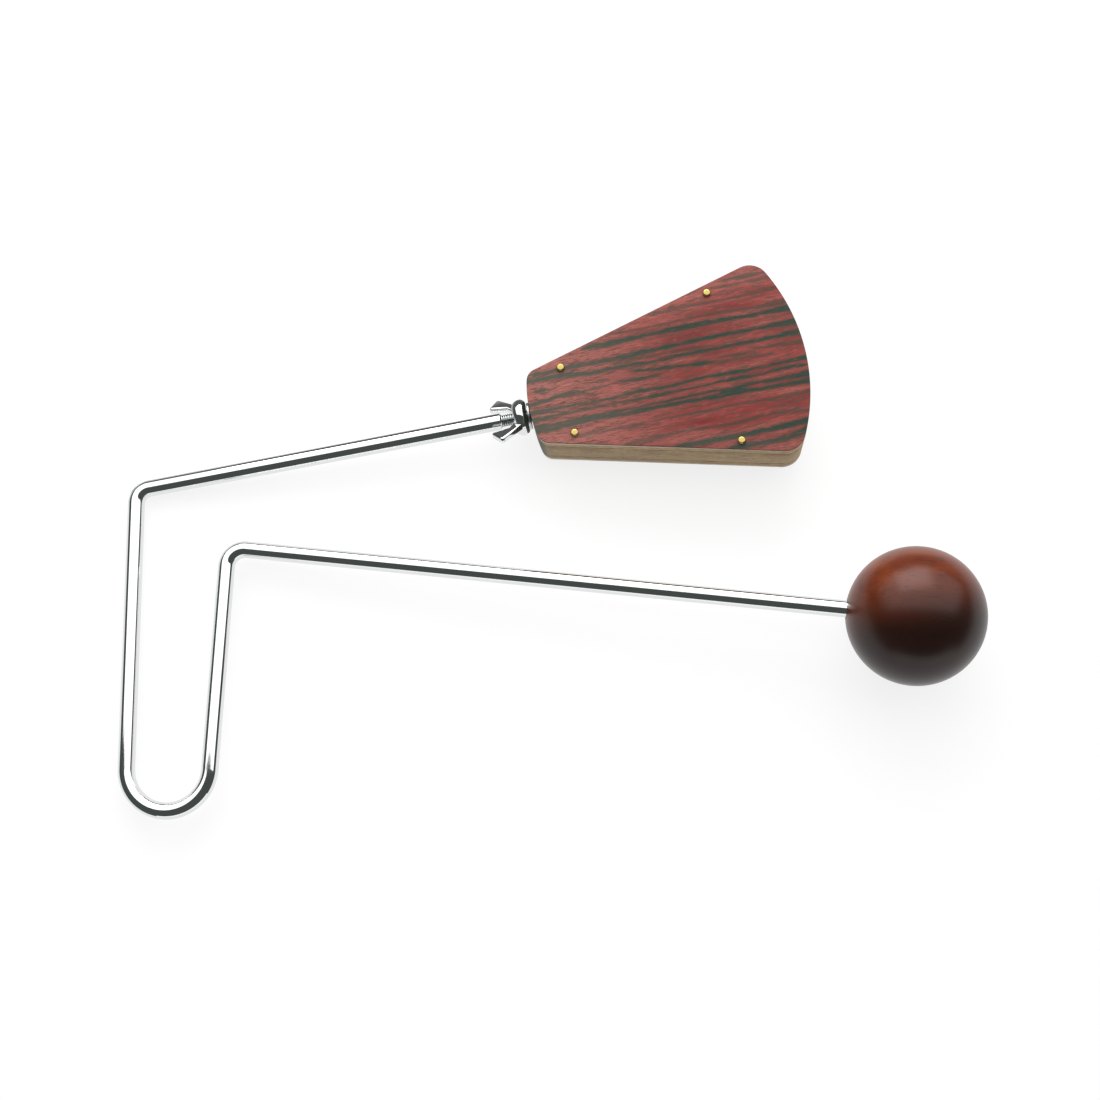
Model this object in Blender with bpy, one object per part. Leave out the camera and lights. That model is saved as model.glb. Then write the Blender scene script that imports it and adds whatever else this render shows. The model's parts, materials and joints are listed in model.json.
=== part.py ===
"""Rattle clacker (vibraslap): a bent steel rod with a wooden ball on one arm and, on the
other, a wedge-shaped wooden box that holds a steel tongue full of loose rivets.

The rod and what is threaded on it are drawn in the bolt's frame (metres): X runs along the
rod's upper arm into the box, Y across it, Z out of the front cover. The box sits a little
askew on its bolt, so that its pieces have a frame of their own, X along their centre line.
The whole object is then laid down on a table as it would come to rest, +Z up.
"""
import math
from itertools import combinations

import bmesh
import bpy
import numpy as np
from mathutils import Matrix, Vector

# Fits
GAP = 0.0003             # clearance that every seated or passing piece keeps

# Box
SIDE_RUN = 0.1085        # along the centre line, between the two corner stations
NARROW_WIDTH = 0.0325    # width at the narrow corner station
TAPER = math.radians(14.73)     # each side against the centre line
NARROW_CROWN = 0.0576    # radius of the bowed narrow end
WIDE_CROWN = 0.0871      # radius of the bowed wide end
NARROW_CORNER = 0.0055
WIDE_CORNER = 0.009
FRAME_DEPTH = 0.0154     # thickness of the board that the horseshoe frame is cut from
COVER = 0.006            # thickness of each cover: ply with a printed laminate on its face
CHEEK = 0.008            # thickness of the frame's side walls
END_BLOCK = 0.024        # depth of solid wood behind the narrow end
CAVITY_CORNER = 0.003    # fillets at the inner end of the cavity
ASKEW = math.radians(1.54)      # the box's centre line against the bolt
BOX_SHIFT = -0.0008      # the box's centre line beside the bolt, at the narrow corner station

# Brass pins that hold the covers
PIN_STATIONS = ((0.0149, 0.0048), (0.0848, 0.0039))  # along the centre line, in from the side
PIN_SHANK = 0.0016       # diameter
PIN_LENGTH = 0.0127      # under the head
PIN_HEAD = 0.0035        # diameter
PIN_HEAD_HEIGHT = 0.001
PIN_HEAD_ROUND = 0.0007  # radius of the head's upper edge

# Rod
ROD = 0.0075             # diameter
THREAD = 0.006           # diameter of the turned-down end
THREAD_SHOWING = 0.0052  # thread left between the wing nut and the rod's shoulder
THREAD_PROUD = 0.0015    # thread past the inner nut
SHOULDER_CHAMFER = 0.0005
ARM = 0.1827             # narrow corner station to the corner of the grip
ARM_BEND = math.radians(80.68)
ARM_BEND_RADIUS = 0.007
LEFT_LEG = 0.1243        # corner to the grip's U bend
GRIP_RADIUS = 0.01842    # of the U bend, at the rod's centre line
GRIP_TURN = math.radians(176.83)
RIGHT_LEG = 0.0982       # U bend to the lower corner
LOWER_BEND = math.radians(94.07)
LOWER_BEND_RADIUS = 0.008
LOWER_ARM = 0.3025       # lower corner to the centre of the ball

# Ball
BALL = 0.060             # diameter
BALL_SOCKET = 0.018      # depth of the hole that takes the rod
SOCKET_COUNTERSINK = 0.0004

# Hardware on the thread
WASHER = 0.012           # diameter of the outer washer
WASHER_THICKNESS = 0.0010
INNER_WASHER = 0.011
INNER_WASHER_THICKNESS = 0.0016
NUT_ACROSS_FLATS = 0.010
NUT_HEIGHT = 0.005
WING_HUB = 0.0163        # diameter
WING_HUB_FOOT = 0.0128   # diameter of the hub's face on the washer
WING_HUB_BEVEL = 0.0013  # height of the bevel from that face to the full diameter
WING_HUB_HEIGHT = 0.0066
WING_HUB_ROUND = 0.0028  # radius of the hub's upper edge
WING_SPAN = 0.0344       # over the outer corners of the two wings
WING_HEIGHT = 0.0172     # from the nut's base to the wings' inner corners
WING_SLANT = 0.0046      # how far a wing's outer corner lies below its inner one
WING_FOOT = 0.0024       # height at which the outer edges leave the hub
WING_ROOT = 0.0088       # height at which the inner edges turn upright
WING_THROAT = 0.0168     # clear distance between the inner edges, there
WING_SPREAD = 0.0018     # how far each inner edge leans out from there to its corner
WING_CORNER = 0.0016     # rounding of the two free corners
WING_THICKNESS = 0.0030
WING_EDGE = 0.0009       # rounding of the wings' edges
WING_TURN = math.radians(42)    # wings against the plane of the rod

# Rattle plate and its rivets
PLATE = 0.0012           # sheet thickness
PLATE_BEND = 0.0016      # bend radius at the sheet's middle
FLANGE_WIDTH = 0.022
FLANGE_RISE = 0.0072     # above the thread's centre line
FLANGE_DROP = 0.0068     # below it, down to the middle of the lower run
JOGGLE_START = 0.0125    # end block to the foot of the ramp
JOGGLE_RUN = 0.0085      # length of the ramp along the box
TONGUE_WIDTH = 0.027     # where the ramp ends
TONGUE_FLARE = math.radians(11.5)
TONGUE_REACH = 0.0725    # end block to the tip
TONGUE_CORNER = 0.004
RIVET_SHANK = 0.003      # diameter
RIVET_HOLE = 0.0042
RIVET_HEAD = 0.0068      # diameter of the domed head
RIVET_HEAD_HEIGHT = 0.0017
RIVET_TAIL = 0.0055      # diameter of the closed end
RIVET_TAIL_HEIGHT = 0.0013
RIVET_TAIL_RIM = 0.0005  # height of the closed end's full width
RIVET_TAIL_FLAT = 0.004  # diameter of its flat end
RIVET_TRAVEL = 0.0050    # how far a rivet jumps before its tail meets the plate
RIVET_ROWS = ((0.11, 0.465, 2), (0.33, 0.53, 2), (0.555, 0.65, 3), (0.775, 0.69, 3))
# each row: share of the flat tongue's length, share of its half width there, how many

# Attitude
AXIS_RISE = math.radians(10.05)     # the upper arm against the object's length

# Round pieces
ROD_SIDES = 24
BEND_STEP = math.radians(8)     # turn of one facet in the rod's bends
HOLE_SIDES = 20
BALL_STEPS = 44

# Densities for the resting attitude, kg per cubic metre
STEEL = 7850
BRASS = 8500
BEECH = 720
LAMINATE = 900

# Sizes that follow
DEPTH_HALF = FRAME_DEPTH/2
COVER_FACE = DEPTH_HALF + GAP + COVER
NARROW_HALF = NARROW_WIDTH/2
WIDE_HALF = NARROW_HALF + SIDE_RUN*math.tan(TAPER)
NARROW_CENTRE = math.sqrt(NARROW_CROWN**2 - NARROW_HALF**2)
WIDE_CENTRE = SIDE_RUN - math.sqrt(WIDE_CROWN**2 - WIDE_HALF**2)
NARROW_APEX = NARROW_CENTRE - NARROW_CROWN
WIDE_APEX = WIDE_CENTRE + WIDE_CROWN
THREAD_BORE = THREAD/2 + GAP
WASHER_SEAT = NARROW_CENTRE*math.cos(ASKEW) - NARROW_CROWN - GAP
NUT_SEAT = WASHER_SEAT - WASHER_THICKNESS - GAP
FLANGE_PLANE = END_BLOCK + GAP + PLATE/2
PLATE_FACE = (END_BLOCK + GAP + PLATE)*math.cos(ASKEW) + INNER_WASHER/2*math.sin(ASKEW)
INNER_WASHER_SEAT = PLATE_FACE + GAP
INNER_NUT_SEAT = INNER_WASHER_SEAT + INNER_WASHER_THICKNESS + GAP
THREAD_END = INNER_NUT_SEAT + NUT_HEIGHT + THREAD_PROUD
SHOULDER = NUT_SEAT - WING_HUB_HEIGHT - THREAD_SHOWING
FLARE_START = END_BLOCK + JOGGLE_START + JOGGLE_RUN
BOX_SEAT = Matrix.Translation((0, BOX_SHIFT, 0)) @ Matrix.Rotation(ASKEW, 4, "Z")


def clear_scene():
    for thing in list(bpy.context.scene.objects):
        bpy.data.objects.remove(thing, do_unlink=True)


def finish(name, colour, roughness, metallic=0.0):
    """A plain Principled material."""
    material = bpy.data.materials.new(name)
    material.use_nodes = True
    shader = material.node_tree.nodes["Principled BSDF"]
    shader.inputs["Base Color"].default_value = (*colour, 1.0)
    shader.inputs["Roughness"].default_value = roughness
    shader.inputs["Metallic"].default_value = metallic
    material.diffuse_color = (*colour, 1.0)
    return material


def place(name, mesh, material, parent, matrix=Matrix.Identity(4), sharp=35):
    """Put a mesh into the scene as one named piece."""
    if isinstance(mesh, bmesh.types.BMesh):
        bmesh.ops.recalc_face_normals(mesh, faces=mesh.faces)
        data = bpy.data.meshes.new(name)
        mesh.to_mesh(data)
        mesh.free()
        data.materials.append(material)
        data.shade_smooth()
        data.set_sharp_from_angle(angle=math.radians(sharp))
        mesh = data
    piece = bpy.data.objects.new(name, mesh)
    bpy.context.scene.collection.objects.link(piece)
    piece.parent = parent
    piece.matrix_local = matrix
    return piece


def cut(piece, cutters):
    """Cut bmeshes, given in the piece's own frame, out of a piece."""
    joined = bmesh.new()
    for cutter in cutters:
        part = bpy.data.meshes.new("cutter")
        cutter.to_mesh(part)
        cutter.free()
        joined.from_mesh(part)
        bpy.data.meshes.remove(part)
    bmesh.ops.recalc_face_normals(joined, faces=joined.faces)
    data = bpy.data.meshes.new(piece.name + "_cutter")
    joined.to_mesh(data)
    joined.free()
    tool = bpy.data.objects.new(piece.name + "_cutter", data)
    bpy.context.scene.collection.objects.link(tool)
    tool.parent = piece
    tool.hide_render = True
    tool.display_type = "WIRE"
    modifier = piece.modifiers.new("cut", "BOOLEAN")
    modifier.operation = "DIFFERENCE"
    modifier.solver = "EXACT"
    modifier.object = tool


def bar(radius, start, end, axis="X", at=(0, 0), sides=HOLE_SIDES):
    """A round bar along X or Z, from start to end on that axis."""
    mesh = bmesh.new()
    bmesh.ops.create_cone(mesh, cap_ends=True, segments=sides, radius1=radius,
                          radius2=radius, depth=end - start)
    bmesh.ops.translate(mesh, vec=(0, 0, (start + end)/2), verts=mesh.verts)
    if axis == "X":
        bmesh.ops.rotate(mesh, cent=(0, 0, 0), matrix=Matrix.Rotation(math.pi/2, 3, "Y"),
                         verts=mesh.verts)
        bmesh.ops.translate(mesh, vec=(0, *at), verts=mesh.verts)
    else:
        bmesh.ops.translate(mesh, vec=(*at, 0), verts=mesh.verts)
    return mesh


def turned(profile, steps, axis="Z"):
    """Turn a profile of (along, radius) points about X or Z."""
    mesh = bmesh.new()
    corners = [mesh.verts.new((radius, 0, along)) for along, radius in profile]
    edges = [mesh.edges.new(pair) for pair in zip(corners[:-1], corners[1:])]
    if profile[0][1] > 0:
        edges.append(mesh.edges.new((corners[-1], corners[0])))
    bmesh.ops.spin(mesh, geom=corners + edges, cent=(0, 0, 0), axis=(0, 0, 1),
                   angle=2*math.pi, steps=steps, use_merge=True)
    bmesh.ops.remove_doubles(mesh, verts=mesh.verts, dist=1e-6)
    if axis == "X":
        bmesh.ops.rotate(mesh, cent=(0, 0, 0), matrix=Matrix.Rotation(math.pi/2, 3, "Y"),
                         verts=mesh.verts)
    return mesh


def arc(centre, radius, start, end, steps):
    """Points along an arc, both ends included."""
    angles = [start + (end - start)*i/steps for i in range(steps + 1)]
    return [(centre[0] + radius*math.cos(a), centre[1] + radius*math.sin(a)) for a in angles]


def side_at(x):
    """Half the box's width at a station on its centre line."""
    return NARROW_HALF + x*math.tan(TAPER)


def tongue_at(x):
    """Half the tongue's width at a station past the ramp."""
    return TONGUE_WIDTH/2 + (x - FLARE_START)*math.tan(TONGUE_FLARE)


def thread_bar(start, end):
    """A bar for the thread's hole, in the box's frame but along the bolt."""
    mesh = bar(THREAD_BORE, start, end)
    bmesh.ops.transform(mesh, matrix=BOX_SEAT.inverted(), verts=mesh.verts)
    return mesh


def corner_centre(crown_centre, crown, radius, side):
    """Centre of the fillet between the box's straight side and one of its bowed ends."""
    along = Vector((math.cos(TAPER), math.sin(TAPER)))
    across = Vector((-math.sin(TAPER), math.cos(TAPER)))
    foot = Vector((0, NARROW_HALF)) - across*radius
    reach = foot - Vector((crown_centre, 0))
    middle = reach.dot(along)
    root = math.sqrt(middle**2 - reach.length_squared + (crown - radius)**2)
    return foot + along*(side*root - middle)


def box_outline():
    """The wedge seen from the front: bowed ends, straight tapered sides, rounded corners."""
    narrow = corner_centre(NARROW_CENTRE, NARROW_CROWN, NARROW_CORNER, -1)
    wide = corner_centre(WIDE_CENTRE, WIDE_CROWN, WIDE_CORNER, 1)
    side_normal = math.pi/2 + TAPER
    narrow_turn = math.atan2(narrow.y, narrow.x - NARROW_CENTRE)
    wide_turn = math.atan2(wide.y, wide.x - WIDE_CENTRE)
    half = arc((NARROW_CENTRE, 0), NARROW_CROWN, math.pi, narrow_turn, 4)
    half += arc(narrow, NARROW_CORNER, narrow_turn, side_normal, 6)[1:]
    half += arc(wide, WIDE_CORNER, side_normal, wide_turn, 7)
    half += arc((WIDE_CENTRE, 0), WIDE_CROWN, wide_turn, 0, 8)[1:]
    return half + [(x, -y) for x, y in half[-2:0:-1]]


def slab(outline, low, high):
    """A flat outline given a thickness along Z."""
    mesh = bmesh.new()
    floor = mesh.faces.new([mesh.verts.new((x, y, low)) for x, y in outline])
    raised = bmesh.ops.extrude_face_region(mesh, geom=[floor])
    lifted = [v for v in raised["geom"] if isinstance(v, bmesh.types.BMVert)]
    bmesh.ops.translate(mesh, vec=(0, 0, high - low), verts=lifted)
    return mesh


def pin_places():
    """Where the four pins of one cover stand, over the cheeks."""
    return [(x, side*(side_at(x) - inset/math.cos(TAPER))) for x, inset in PIN_STATIONS
            for side in (1, -1)]


def rod_path():
    """Centre line of the bent rod in the XY plane, as (point, radius), and the ball's centre."""
    arm_trim = ARM_BEND_RADIUS*math.tan(ARM_BEND/2)
    lower_trim = LOWER_BEND_RADIUS*math.tan(LOWER_BEND/2)
    inside_ball = BALL/2 - BALL_SOCKET + GAP
    moves = ((ARM + SHOULDER - arm_trim, ARM_BEND, ARM_BEND_RADIUS),
             (LEFT_LEG - arm_trim, GRIP_TURN, GRIP_RADIUS),
             (RIGHT_LEG - lower_trim, -LOWER_BEND, LOWER_BEND_RADIUS),
             (LOWER_ARM - lower_trim - inside_ball, 0, 0))
    point = Vector((SHOULDER, 0))
    heading = math.pi
    path = [((THREAD_END, 0), THREAD/2), ((SHOULDER, 0), THREAD/2),
            ((SHOULDER - SHOULDER_CHAMFER, 0), ROD/2)]
    for run, bend, radius in moves:
        point = point + Vector((math.cos(heading), math.sin(heading)))*run
        if bend:
            lean = math.copysign(math.pi/2, bend)
            centre = point + Vector((math.cos(heading + lean), math.sin(heading + lean)))*radius
            turn = arc(centre, radius, heading - lean, heading - lean + bend,
                       math.ceil(abs(bend)/BEND_STEP))
            path += [(spot, ROD/2) for spot in turn]
            point = Vector(turn[-1])
            heading += bend
        else:
            path.append((tuple(point), ROD/2))
    ball = point + Vector((math.cos(heading), math.sin(heading)))*inside_ball
    return path, ball, heading


def make_rod(parent, chrome):
    """One length of round bar, bent three times, with a turned-down threaded end."""
    path, _, _ = rod_path()
    curve = bpy.data.curves.new("rod", "CURVE")
    curve.dimensions = "3D"
    curve.bevel_depth = ROD/2
    curve.bevel_resolution = ROD_SIDES//2 - 2
    curve.use_fill_caps = True
    line = curve.splines.new("POLY")
    line.points.add(len(path) - 1)
    for spot, ((x, y), radius) in zip(line.points, path):
        spot.co = (x, y, 0, 1)
        spot.radius = radius/(ROD/2)
    line.use_smooth = True
    curve.materials.append(chrome)
    rod = bpy.data.objects.new("rod", curve)
    bpy.context.scene.collection.objects.link(rod)
    rod.parent = parent
    return rod


def make_ball(parent, wood):
    """Turned hardwood ball with a blind socket for the rod."""
    _, centre, heading = rod_path()
    socket = ROD/2 + GAP
    radius = BALL/2
    mouth = math.acos((socket + SOCKET_COUNTERSINK)/radius)
    lip = -radius*math.sin(mouth)
    skin = [(radius*math.sin(a), radius*math.cos(a))
            for a in [-mouth + (mouth + math.pi/2)*i/(BALL_STEPS//2)
                      for i in range(BALL_STEPS//2)]]
    profile = [(BALL_SOCKET - radius, 0), (BALL_SOCKET - radius, socket),
               (lip + SOCKET_COUNTERSINK, socket)] + skin + [(radius, 0)]
    seat = Matrix.Translation((*centre, 0)) @ Matrix.Rotation(heading, 4, "Z")
    return place("ball", turned(profile, BALL_STEPS, "X"), wood, parent, seat)


def make_frame(parent, wood):
    """Horseshoe frame: two cheeks and an end block in one piece, open at the wide end."""
    frame = place("box_frame", slab(box_outline(), -DEPTH_HALF, DEPTH_HALF), wood, parent)
    inset = CHEEK/math.cos(TAPER)
    past = WIDE_APEX + CHEEK
    cavity = bmesh.new()
    plan = [(END_BLOCK, side_at(END_BLOCK) - inset), (END_BLOCK, inset - side_at(END_BLOCK)),
            (past, inset - side_at(past)), (past, side_at(past) - inset)]
    floor = cavity.faces.new([cavity.verts.new((x, y, -DEPTH_HALF - CHEEK)) for x, y in plan])
    inner = [v for v in cavity.verts if v.co.x < END_BLOCK + GAP]
    bmesh.ops.bevel(cavity, geom=inner, offset=CAVITY_CORNER, offset_type="OFFSET", segments=5,
                    profile=0.5, affect="VERTICES", material=-1)
    raised = bmesh.ops.extrude_face_region(cavity, geom=list(cavity.faces))
    lifted = [v for v in raised["geom"] if isinstance(v, bmesh.types.BMVert)]
    bmesh.ops.translate(cavity, vec=(0, 0, FRAME_DEPTH + 2*CHEEK), verts=lifted)
    cut(frame, [cavity])
    cutters = [thread_bar(NARROW_APEX - CHEEK, END_BLOCK + CHEEK)]
    hole = PIN_SHANK/2 + GAP
    depth = DEPTH_HALF - (PIN_LENGTH - COVER)
    for spot in pin_places():
        cutters.append(bar(hole, depth, DEPTH_HALF + CHEEK, "Z", spot, 12))
        cutters.append(bar(hole, -DEPTH_HALF - CHEEK, -depth, "Z", spot, 12))
    cut(frame, cutters)
    return frame


def make_cover(name, face, parent, laminate):
    """Laminated cover cut to the frame's outline, drilled for its four pins."""
    low, high = sorted((face*(DEPTH_HALF + GAP), face*COVER_FACE))
    cover = place(name, slab(box_outline(), low, high), laminate, parent)
    hole = PIN_SHANK/2 + GAP
    cut(cover, [bar(hole, low - CHEEK, high + CHEEK, "Z", spot, 12) for spot in pin_places()])
    return cover


def make_pins(parent, brass):
    """Round-headed brass pins, four through each cover into the cheeks."""
    shoulder = arc((GAP + PIN_HEAD_HEIGHT - PIN_HEAD_ROUND, PIN_HEAD/2 - PIN_HEAD_ROUND),
                   PIN_HEAD_ROUND, math.pi/2, 0, 2)
    profile = [(GAP - PIN_LENGTH, 0), (GAP - PIN_LENGTH, PIN_SHANK/4),
               (GAP*2 - PIN_LENGTH + PIN_SHANK/2, PIN_SHANK/2), (GAP, PIN_SHANK/2),
               (GAP, PIN_HEAD/2)] + shoulder + [(GAP + PIN_HEAD_HEIGHT, 0)]
    first = None
    for face, side in ((1, "front"), (-1, "back")):
        for i, spot in enumerate(pin_places(), 1):
            seat = Matrix.Translation((*spot, face*COVER_FACE))
            if face < 0:
                seat = seat @ Matrix.Rotation(math.pi, 4, "X")
            mesh = first.data if first else turned(profile, 14)
            pin = place(f"{side}_pin_{i}", mesh, brass, parent, seat)
            first = first or pin


def plate_path():
    """Side view of the bent plate, at the middle of the sheet, as (x, z)."""
    run = END_BLOCK + JOGGLE_START
    corners = [(FLANGE_PLANE, FLANGE_RISE), (FLANGE_PLANE, -FLANGE_DROP), (run, -FLANGE_DROP),
               (run + JOGGLE_RUN, 0), (END_BLOCK + TONGUE_REACH, 0)]
    path = [corners[0]]
    for before, corner, after in zip(corners, corners[1:], corners[2:]):
        back = (Vector(before) - Vector(corner)).normalized()
        ahead = (Vector(after) - Vector(corner)).normalized()
        half = back.angle(ahead)/2
        centre = Vector(corner) + (back + ahead).normalized()*(PLATE_BEND/math.sin(half))
        start = Vector(corner) + back*(PLATE_BEND/math.tan(half)) - centre
        end = Vector(corner) + ahead*(PLATE_BEND/math.tan(half)) - centre
        first = math.atan2(start.y, start.x)
        sweep = (math.atan2(end.y, end.x) - first + math.pi) % (2*math.pi) - math.pi
        path += arc(centre, PLATE_BEND, first, first + sweep, 5)
    path.append(corners[-1])
    return path


def rivet_places():
    """Where the rivets stand on the tongue, row by row."""
    spots = []
    for along, across, count in RIVET_ROWS:
        x = FLARE_START + along*(END_BLOCK + TONGUE_REACH - FLARE_START)
        for i in range(count):
            spots.append((x, across*tongue_at(x)*(2*i/(count - 1) - 1)))
    return spots


def make_plate(parent, steel):
    """Bent sheet: a flange under the inner nut, a joggle, and a flared tongue of holes."""
    ramp = END_BLOCK + JOGGLE_START
    mesh = bmesh.new()
    ribs = []
    for x, z in plate_path():
        half = FLANGE_WIDTH/2
        if x > FLARE_START:
            half = tongue_at(x)
        elif x > ramp:
            half += (TONGUE_WIDTH - FLANGE_WIDTH)/2*(x - ramp)/JOGGLE_RUN
        ribs.append([mesh.verts.new((x, side*half, z)) for side in (1, -1)])
    for (a, b), (c, d) in zip(ribs, ribs[1:]):
        mesh.faces.new((a, b, d, c))
    bmesh.ops.bevel(mesh, geom=ribs[-1] + ribs[0], offset=TONGUE_CORNER, offset_type="OFFSET",
                    segments=4, profile=0.5, affect="VERTICES", material=-1)
    plate = place("rattle_plate", mesh, steel, parent)
    sheet = plate.modifiers.new("sheet", "SOLIDIFY")
    sheet.thickness = PLATE
    sheet.offset = 0
    sheet.use_even_offset = True
    cutters = [thread_bar(END_BLOCK - CHEEK/4, END_BLOCK + CHEEK/4)]
    for spot in rivet_places():
        cutters.append(bar(RIVET_HOLE/2, -PLATE*2, PLATE*2, "Z", spot, 16))
    cut(plate, cutters)
    return plate


def make_rivets(parent, steel):
    """Loose rivets, each hanging by its domed head in a hole of the tongue."""
    top = PLATE/2 + GAP
    tail = top - (GAP + PLATE + RIVET_TRAVEL + GAP)
    radius = RIVET_HEAD/2
    dome = [(top + RIVET_HEAD_HEIGHT*math.sin(a), radius*math.cos(a))
            for a in [math.pi/2*i/4 for i in range(4)]]
    profile = [(tail - RIVET_TAIL_HEIGHT, 0), (tail - RIVET_TAIL_HEIGHT, RIVET_TAIL_FLAT/2),
               (tail - RIVET_TAIL_RIM, RIVET_TAIL/2), (tail, RIVET_TAIL/2),
               (tail, RIVET_SHANK/2), (top, RIVET_SHANK/2)] + dome
    profile.append((top + RIVET_HEAD_HEIGHT, 0))
    first = None
    for i, spot in enumerate(rivet_places(), 1):
        mesh = first.data if first else turned(profile, 16)
        rivet = place(f"rivet_{i:02d}", mesh, steel, parent, Matrix.Translation((*spot, 0)))
        first = first or rivet


def make_washer(name, diameter, thickness, seat, direction, parent, steel):
    """Flat ring on the thread; direction is the side of its seat that it lies on."""
    low, high = sorted((seat, seat + direction*thickness))
    profile = [(0, THREAD_BORE), (0, diameter/2), (high - low, diameter/2),
               (high - low, THREAD_BORE)]
    return place(name, turned(profile, 28, "X"), steel, parent, Matrix.Translation((low, 0, 0)))


def make_inner_nut(parent, steel):
    """Hexagon nut on the thread inside the box, with turned-off corners."""
    corner = NUT_ACROSS_FLATS/2/math.cos(math.pi/6)
    blank = bmesh.new()
    bmesh.ops.create_cone(blank, cap_ends=True, segments=6, radius1=corner, radius2=corner,
                          depth=NUT_HEIGHT)
    bmesh.ops.rotate(blank, cent=(0, 0, 0), matrix=Matrix.Rotation(math.pi/2, 3, "Y"),
                     verts=blank.verts)
    bmesh.ops.translate(blank, vec=(NUT_HEIGHT/2, 0, 0), verts=blank.verts)
    seat = Matrix.Translation((INNER_NUT_SEAT, 0, 0))
    nut = place("inner_nut", blank, steel, parent, seat, sharp=25)
    cut(nut, [bar(THREAD_BORE, -NUT_HEIGHT, 2*NUT_HEIGHT)])
    return nut


def make_wing_nut(parent, chrome):
    """Forged wing nut: a round hub and two square-cornered wings that lean out past its top."""
    rim = WING_HUB/2 - WING_HUB_ROUND
    profile = [(0, THREAD_BORE), (0, WING_HUB_FOOT/2), (WING_HUB_BEVEL, WING_HUB/2)]
    profile += arc((WING_HUB_HEIGHT - WING_HUB_ROUND, rim), WING_HUB_ROUND, math.pi/2, 0, 5)
    profile.append((WING_HUB_HEIGHT, THREAD_BORE))
    nut = place("wing_nut", turned(profile, 32, "X"), chrome, parent,
                Matrix.Translation((NUT_SEAT, 0, 0)) @ Matrix.Rotation(math.pi, 4, "Z"))
    inner = (THREAD_BORE + rim)/2
    outline = [(WING_FOOT, inner), (WING_FOOT, WING_HUB/2 - WING_EDGE/2),
               (WING_HEIGHT - WING_SLANT, WING_SPAN/2),
               (WING_HEIGHT, WING_THROAT/2 + WING_SPREAD),
               (WING_ROOT, WING_THROAT/2),
               (WING_HUB_HEIGHT, rim),
               (WING_HUB_HEIGHT - WING_HUB_ROUND, inner)]
    for side in (1, -1):
        wing = bmesh.new()
        corners = [wing.verts.new((x, side*y, -WING_THICKNESS/2)) for x, y in outline]
        wing.faces.new(corners)
        bmesh.ops.bevel(wing, geom=corners[2:4], offset=WING_CORNER, offset_type="OFFSET",
                        segments=4, profile=0.5, affect="VERTICES", material=-1)
        raised = bmesh.ops.extrude_face_region(wing, geom=list(wing.faces))
        lifted = [v for v in raised["geom"] if isinstance(v, bmesh.types.BMVert)]
        bmesh.ops.translate(wing, vec=(0, 0, WING_THICKNESS), verts=lifted)
        bmesh.ops.recalc_face_normals(wing, faces=wing.faces)
        rims = [e for e in wing.edges if abs(e.verts[0].co.z - e.verts[1].co.z) < GAP]
        bmesh.ops.bevel(wing, geom=rims, offset=WING_EDGE, offset_type="OFFSET", segments=2,
                        profile=0.5, affect="EDGES", material=-1, clamp_overlap=True)
        bmesh.ops.rotate(wing, cent=(0, 0, 0), matrix=Matrix.Rotation(WING_TURN, 3, "X"),
                         verts=wing.verts)
        bmesh.ops.recalc_face_normals(wing, faces=wing.faces)
        data = bpy.data.meshes.new("wing")
        wing.to_mesh(data)
        wing.free()
        paddle = bpy.data.objects.new("wing_shape", data)
        bpy.context.scene.collection.objects.link(paddle)
        paddle.parent = nut
        paddle.hide_render = True
        paddle.display_type = "WIRE"
        union = nut.modifiers.new("wing", "BOOLEAN")
        union.operation = "UNION"
        union.solver = "EXACT"
        union.object = paddle
    return nut


def weigh(densities):
    """Centre of mass of the pieces, from their evaluated meshes and their densities."""
    bpy.context.view_layer.update()
    graph = bpy.context.evaluated_depsgraph_get()
    total = 0.0
    moment = np.zeros(3)
    for piece in bpy.context.scene.objects:
        if piece.type == "EMPTY" or piece.hide_render:
            continue
        shape = piece.evaluated_get(graph)
        mesh = shape.to_mesh()
        mesh.calc_loop_triangles()
        count = len(mesh.vertices)
        spots = np.empty(count*3)
        mesh.vertices.foreach_get("co", spots)
        turn = np.array(piece.matrix_world)
        spots = spots.reshape(-1, 3) @ turn[:3, :3].T + turn[:3, 3]
        order = np.empty(len(mesh.loop_triangles)*3, dtype=int)
        mesh.loop_triangles.foreach_get("vertices", order)
        a, b, c = (spots[order.reshape(-1, 3)[:, i]] for i in range(3))
        volumes = np.einsum("ij,ij->i", a, np.cross(b, c))/6
        density = densities[piece.active_material.name]
        total += density*volumes.sum()
        moment += density*((a + b + c)/4*volumes[:, None]).sum(axis=0)
        shape.to_mesh_clear()
    return moment/total


def touch_points(down):
    """The outermost points that could meet a table below, given the direction down."""
    path, ball, _ = rod_path()
    spots = [np.array((x, y, 0)) + down*radius for (x, y), radius in path]
    spots.append(np.array((*ball, 0)) + down*BALL/2)
    spots += [np.array(BOX_SEAT @ Vector((x, y, -COVER_FACE))) for x, y in box_outline()]
    head = -COVER_FACE - GAP - PIN_HEAD_HEIGHT
    rim = PIN_HEAD/2 - PIN_HEAD_ROUND
    spots += [np.array(BOX_SEAT @ Vector((*edge, head))) for spot in pin_places()
              for edge in arc(spot, rim, 0, 2*math.pi, 8)[1:]]
    return np.array(spots)


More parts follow.
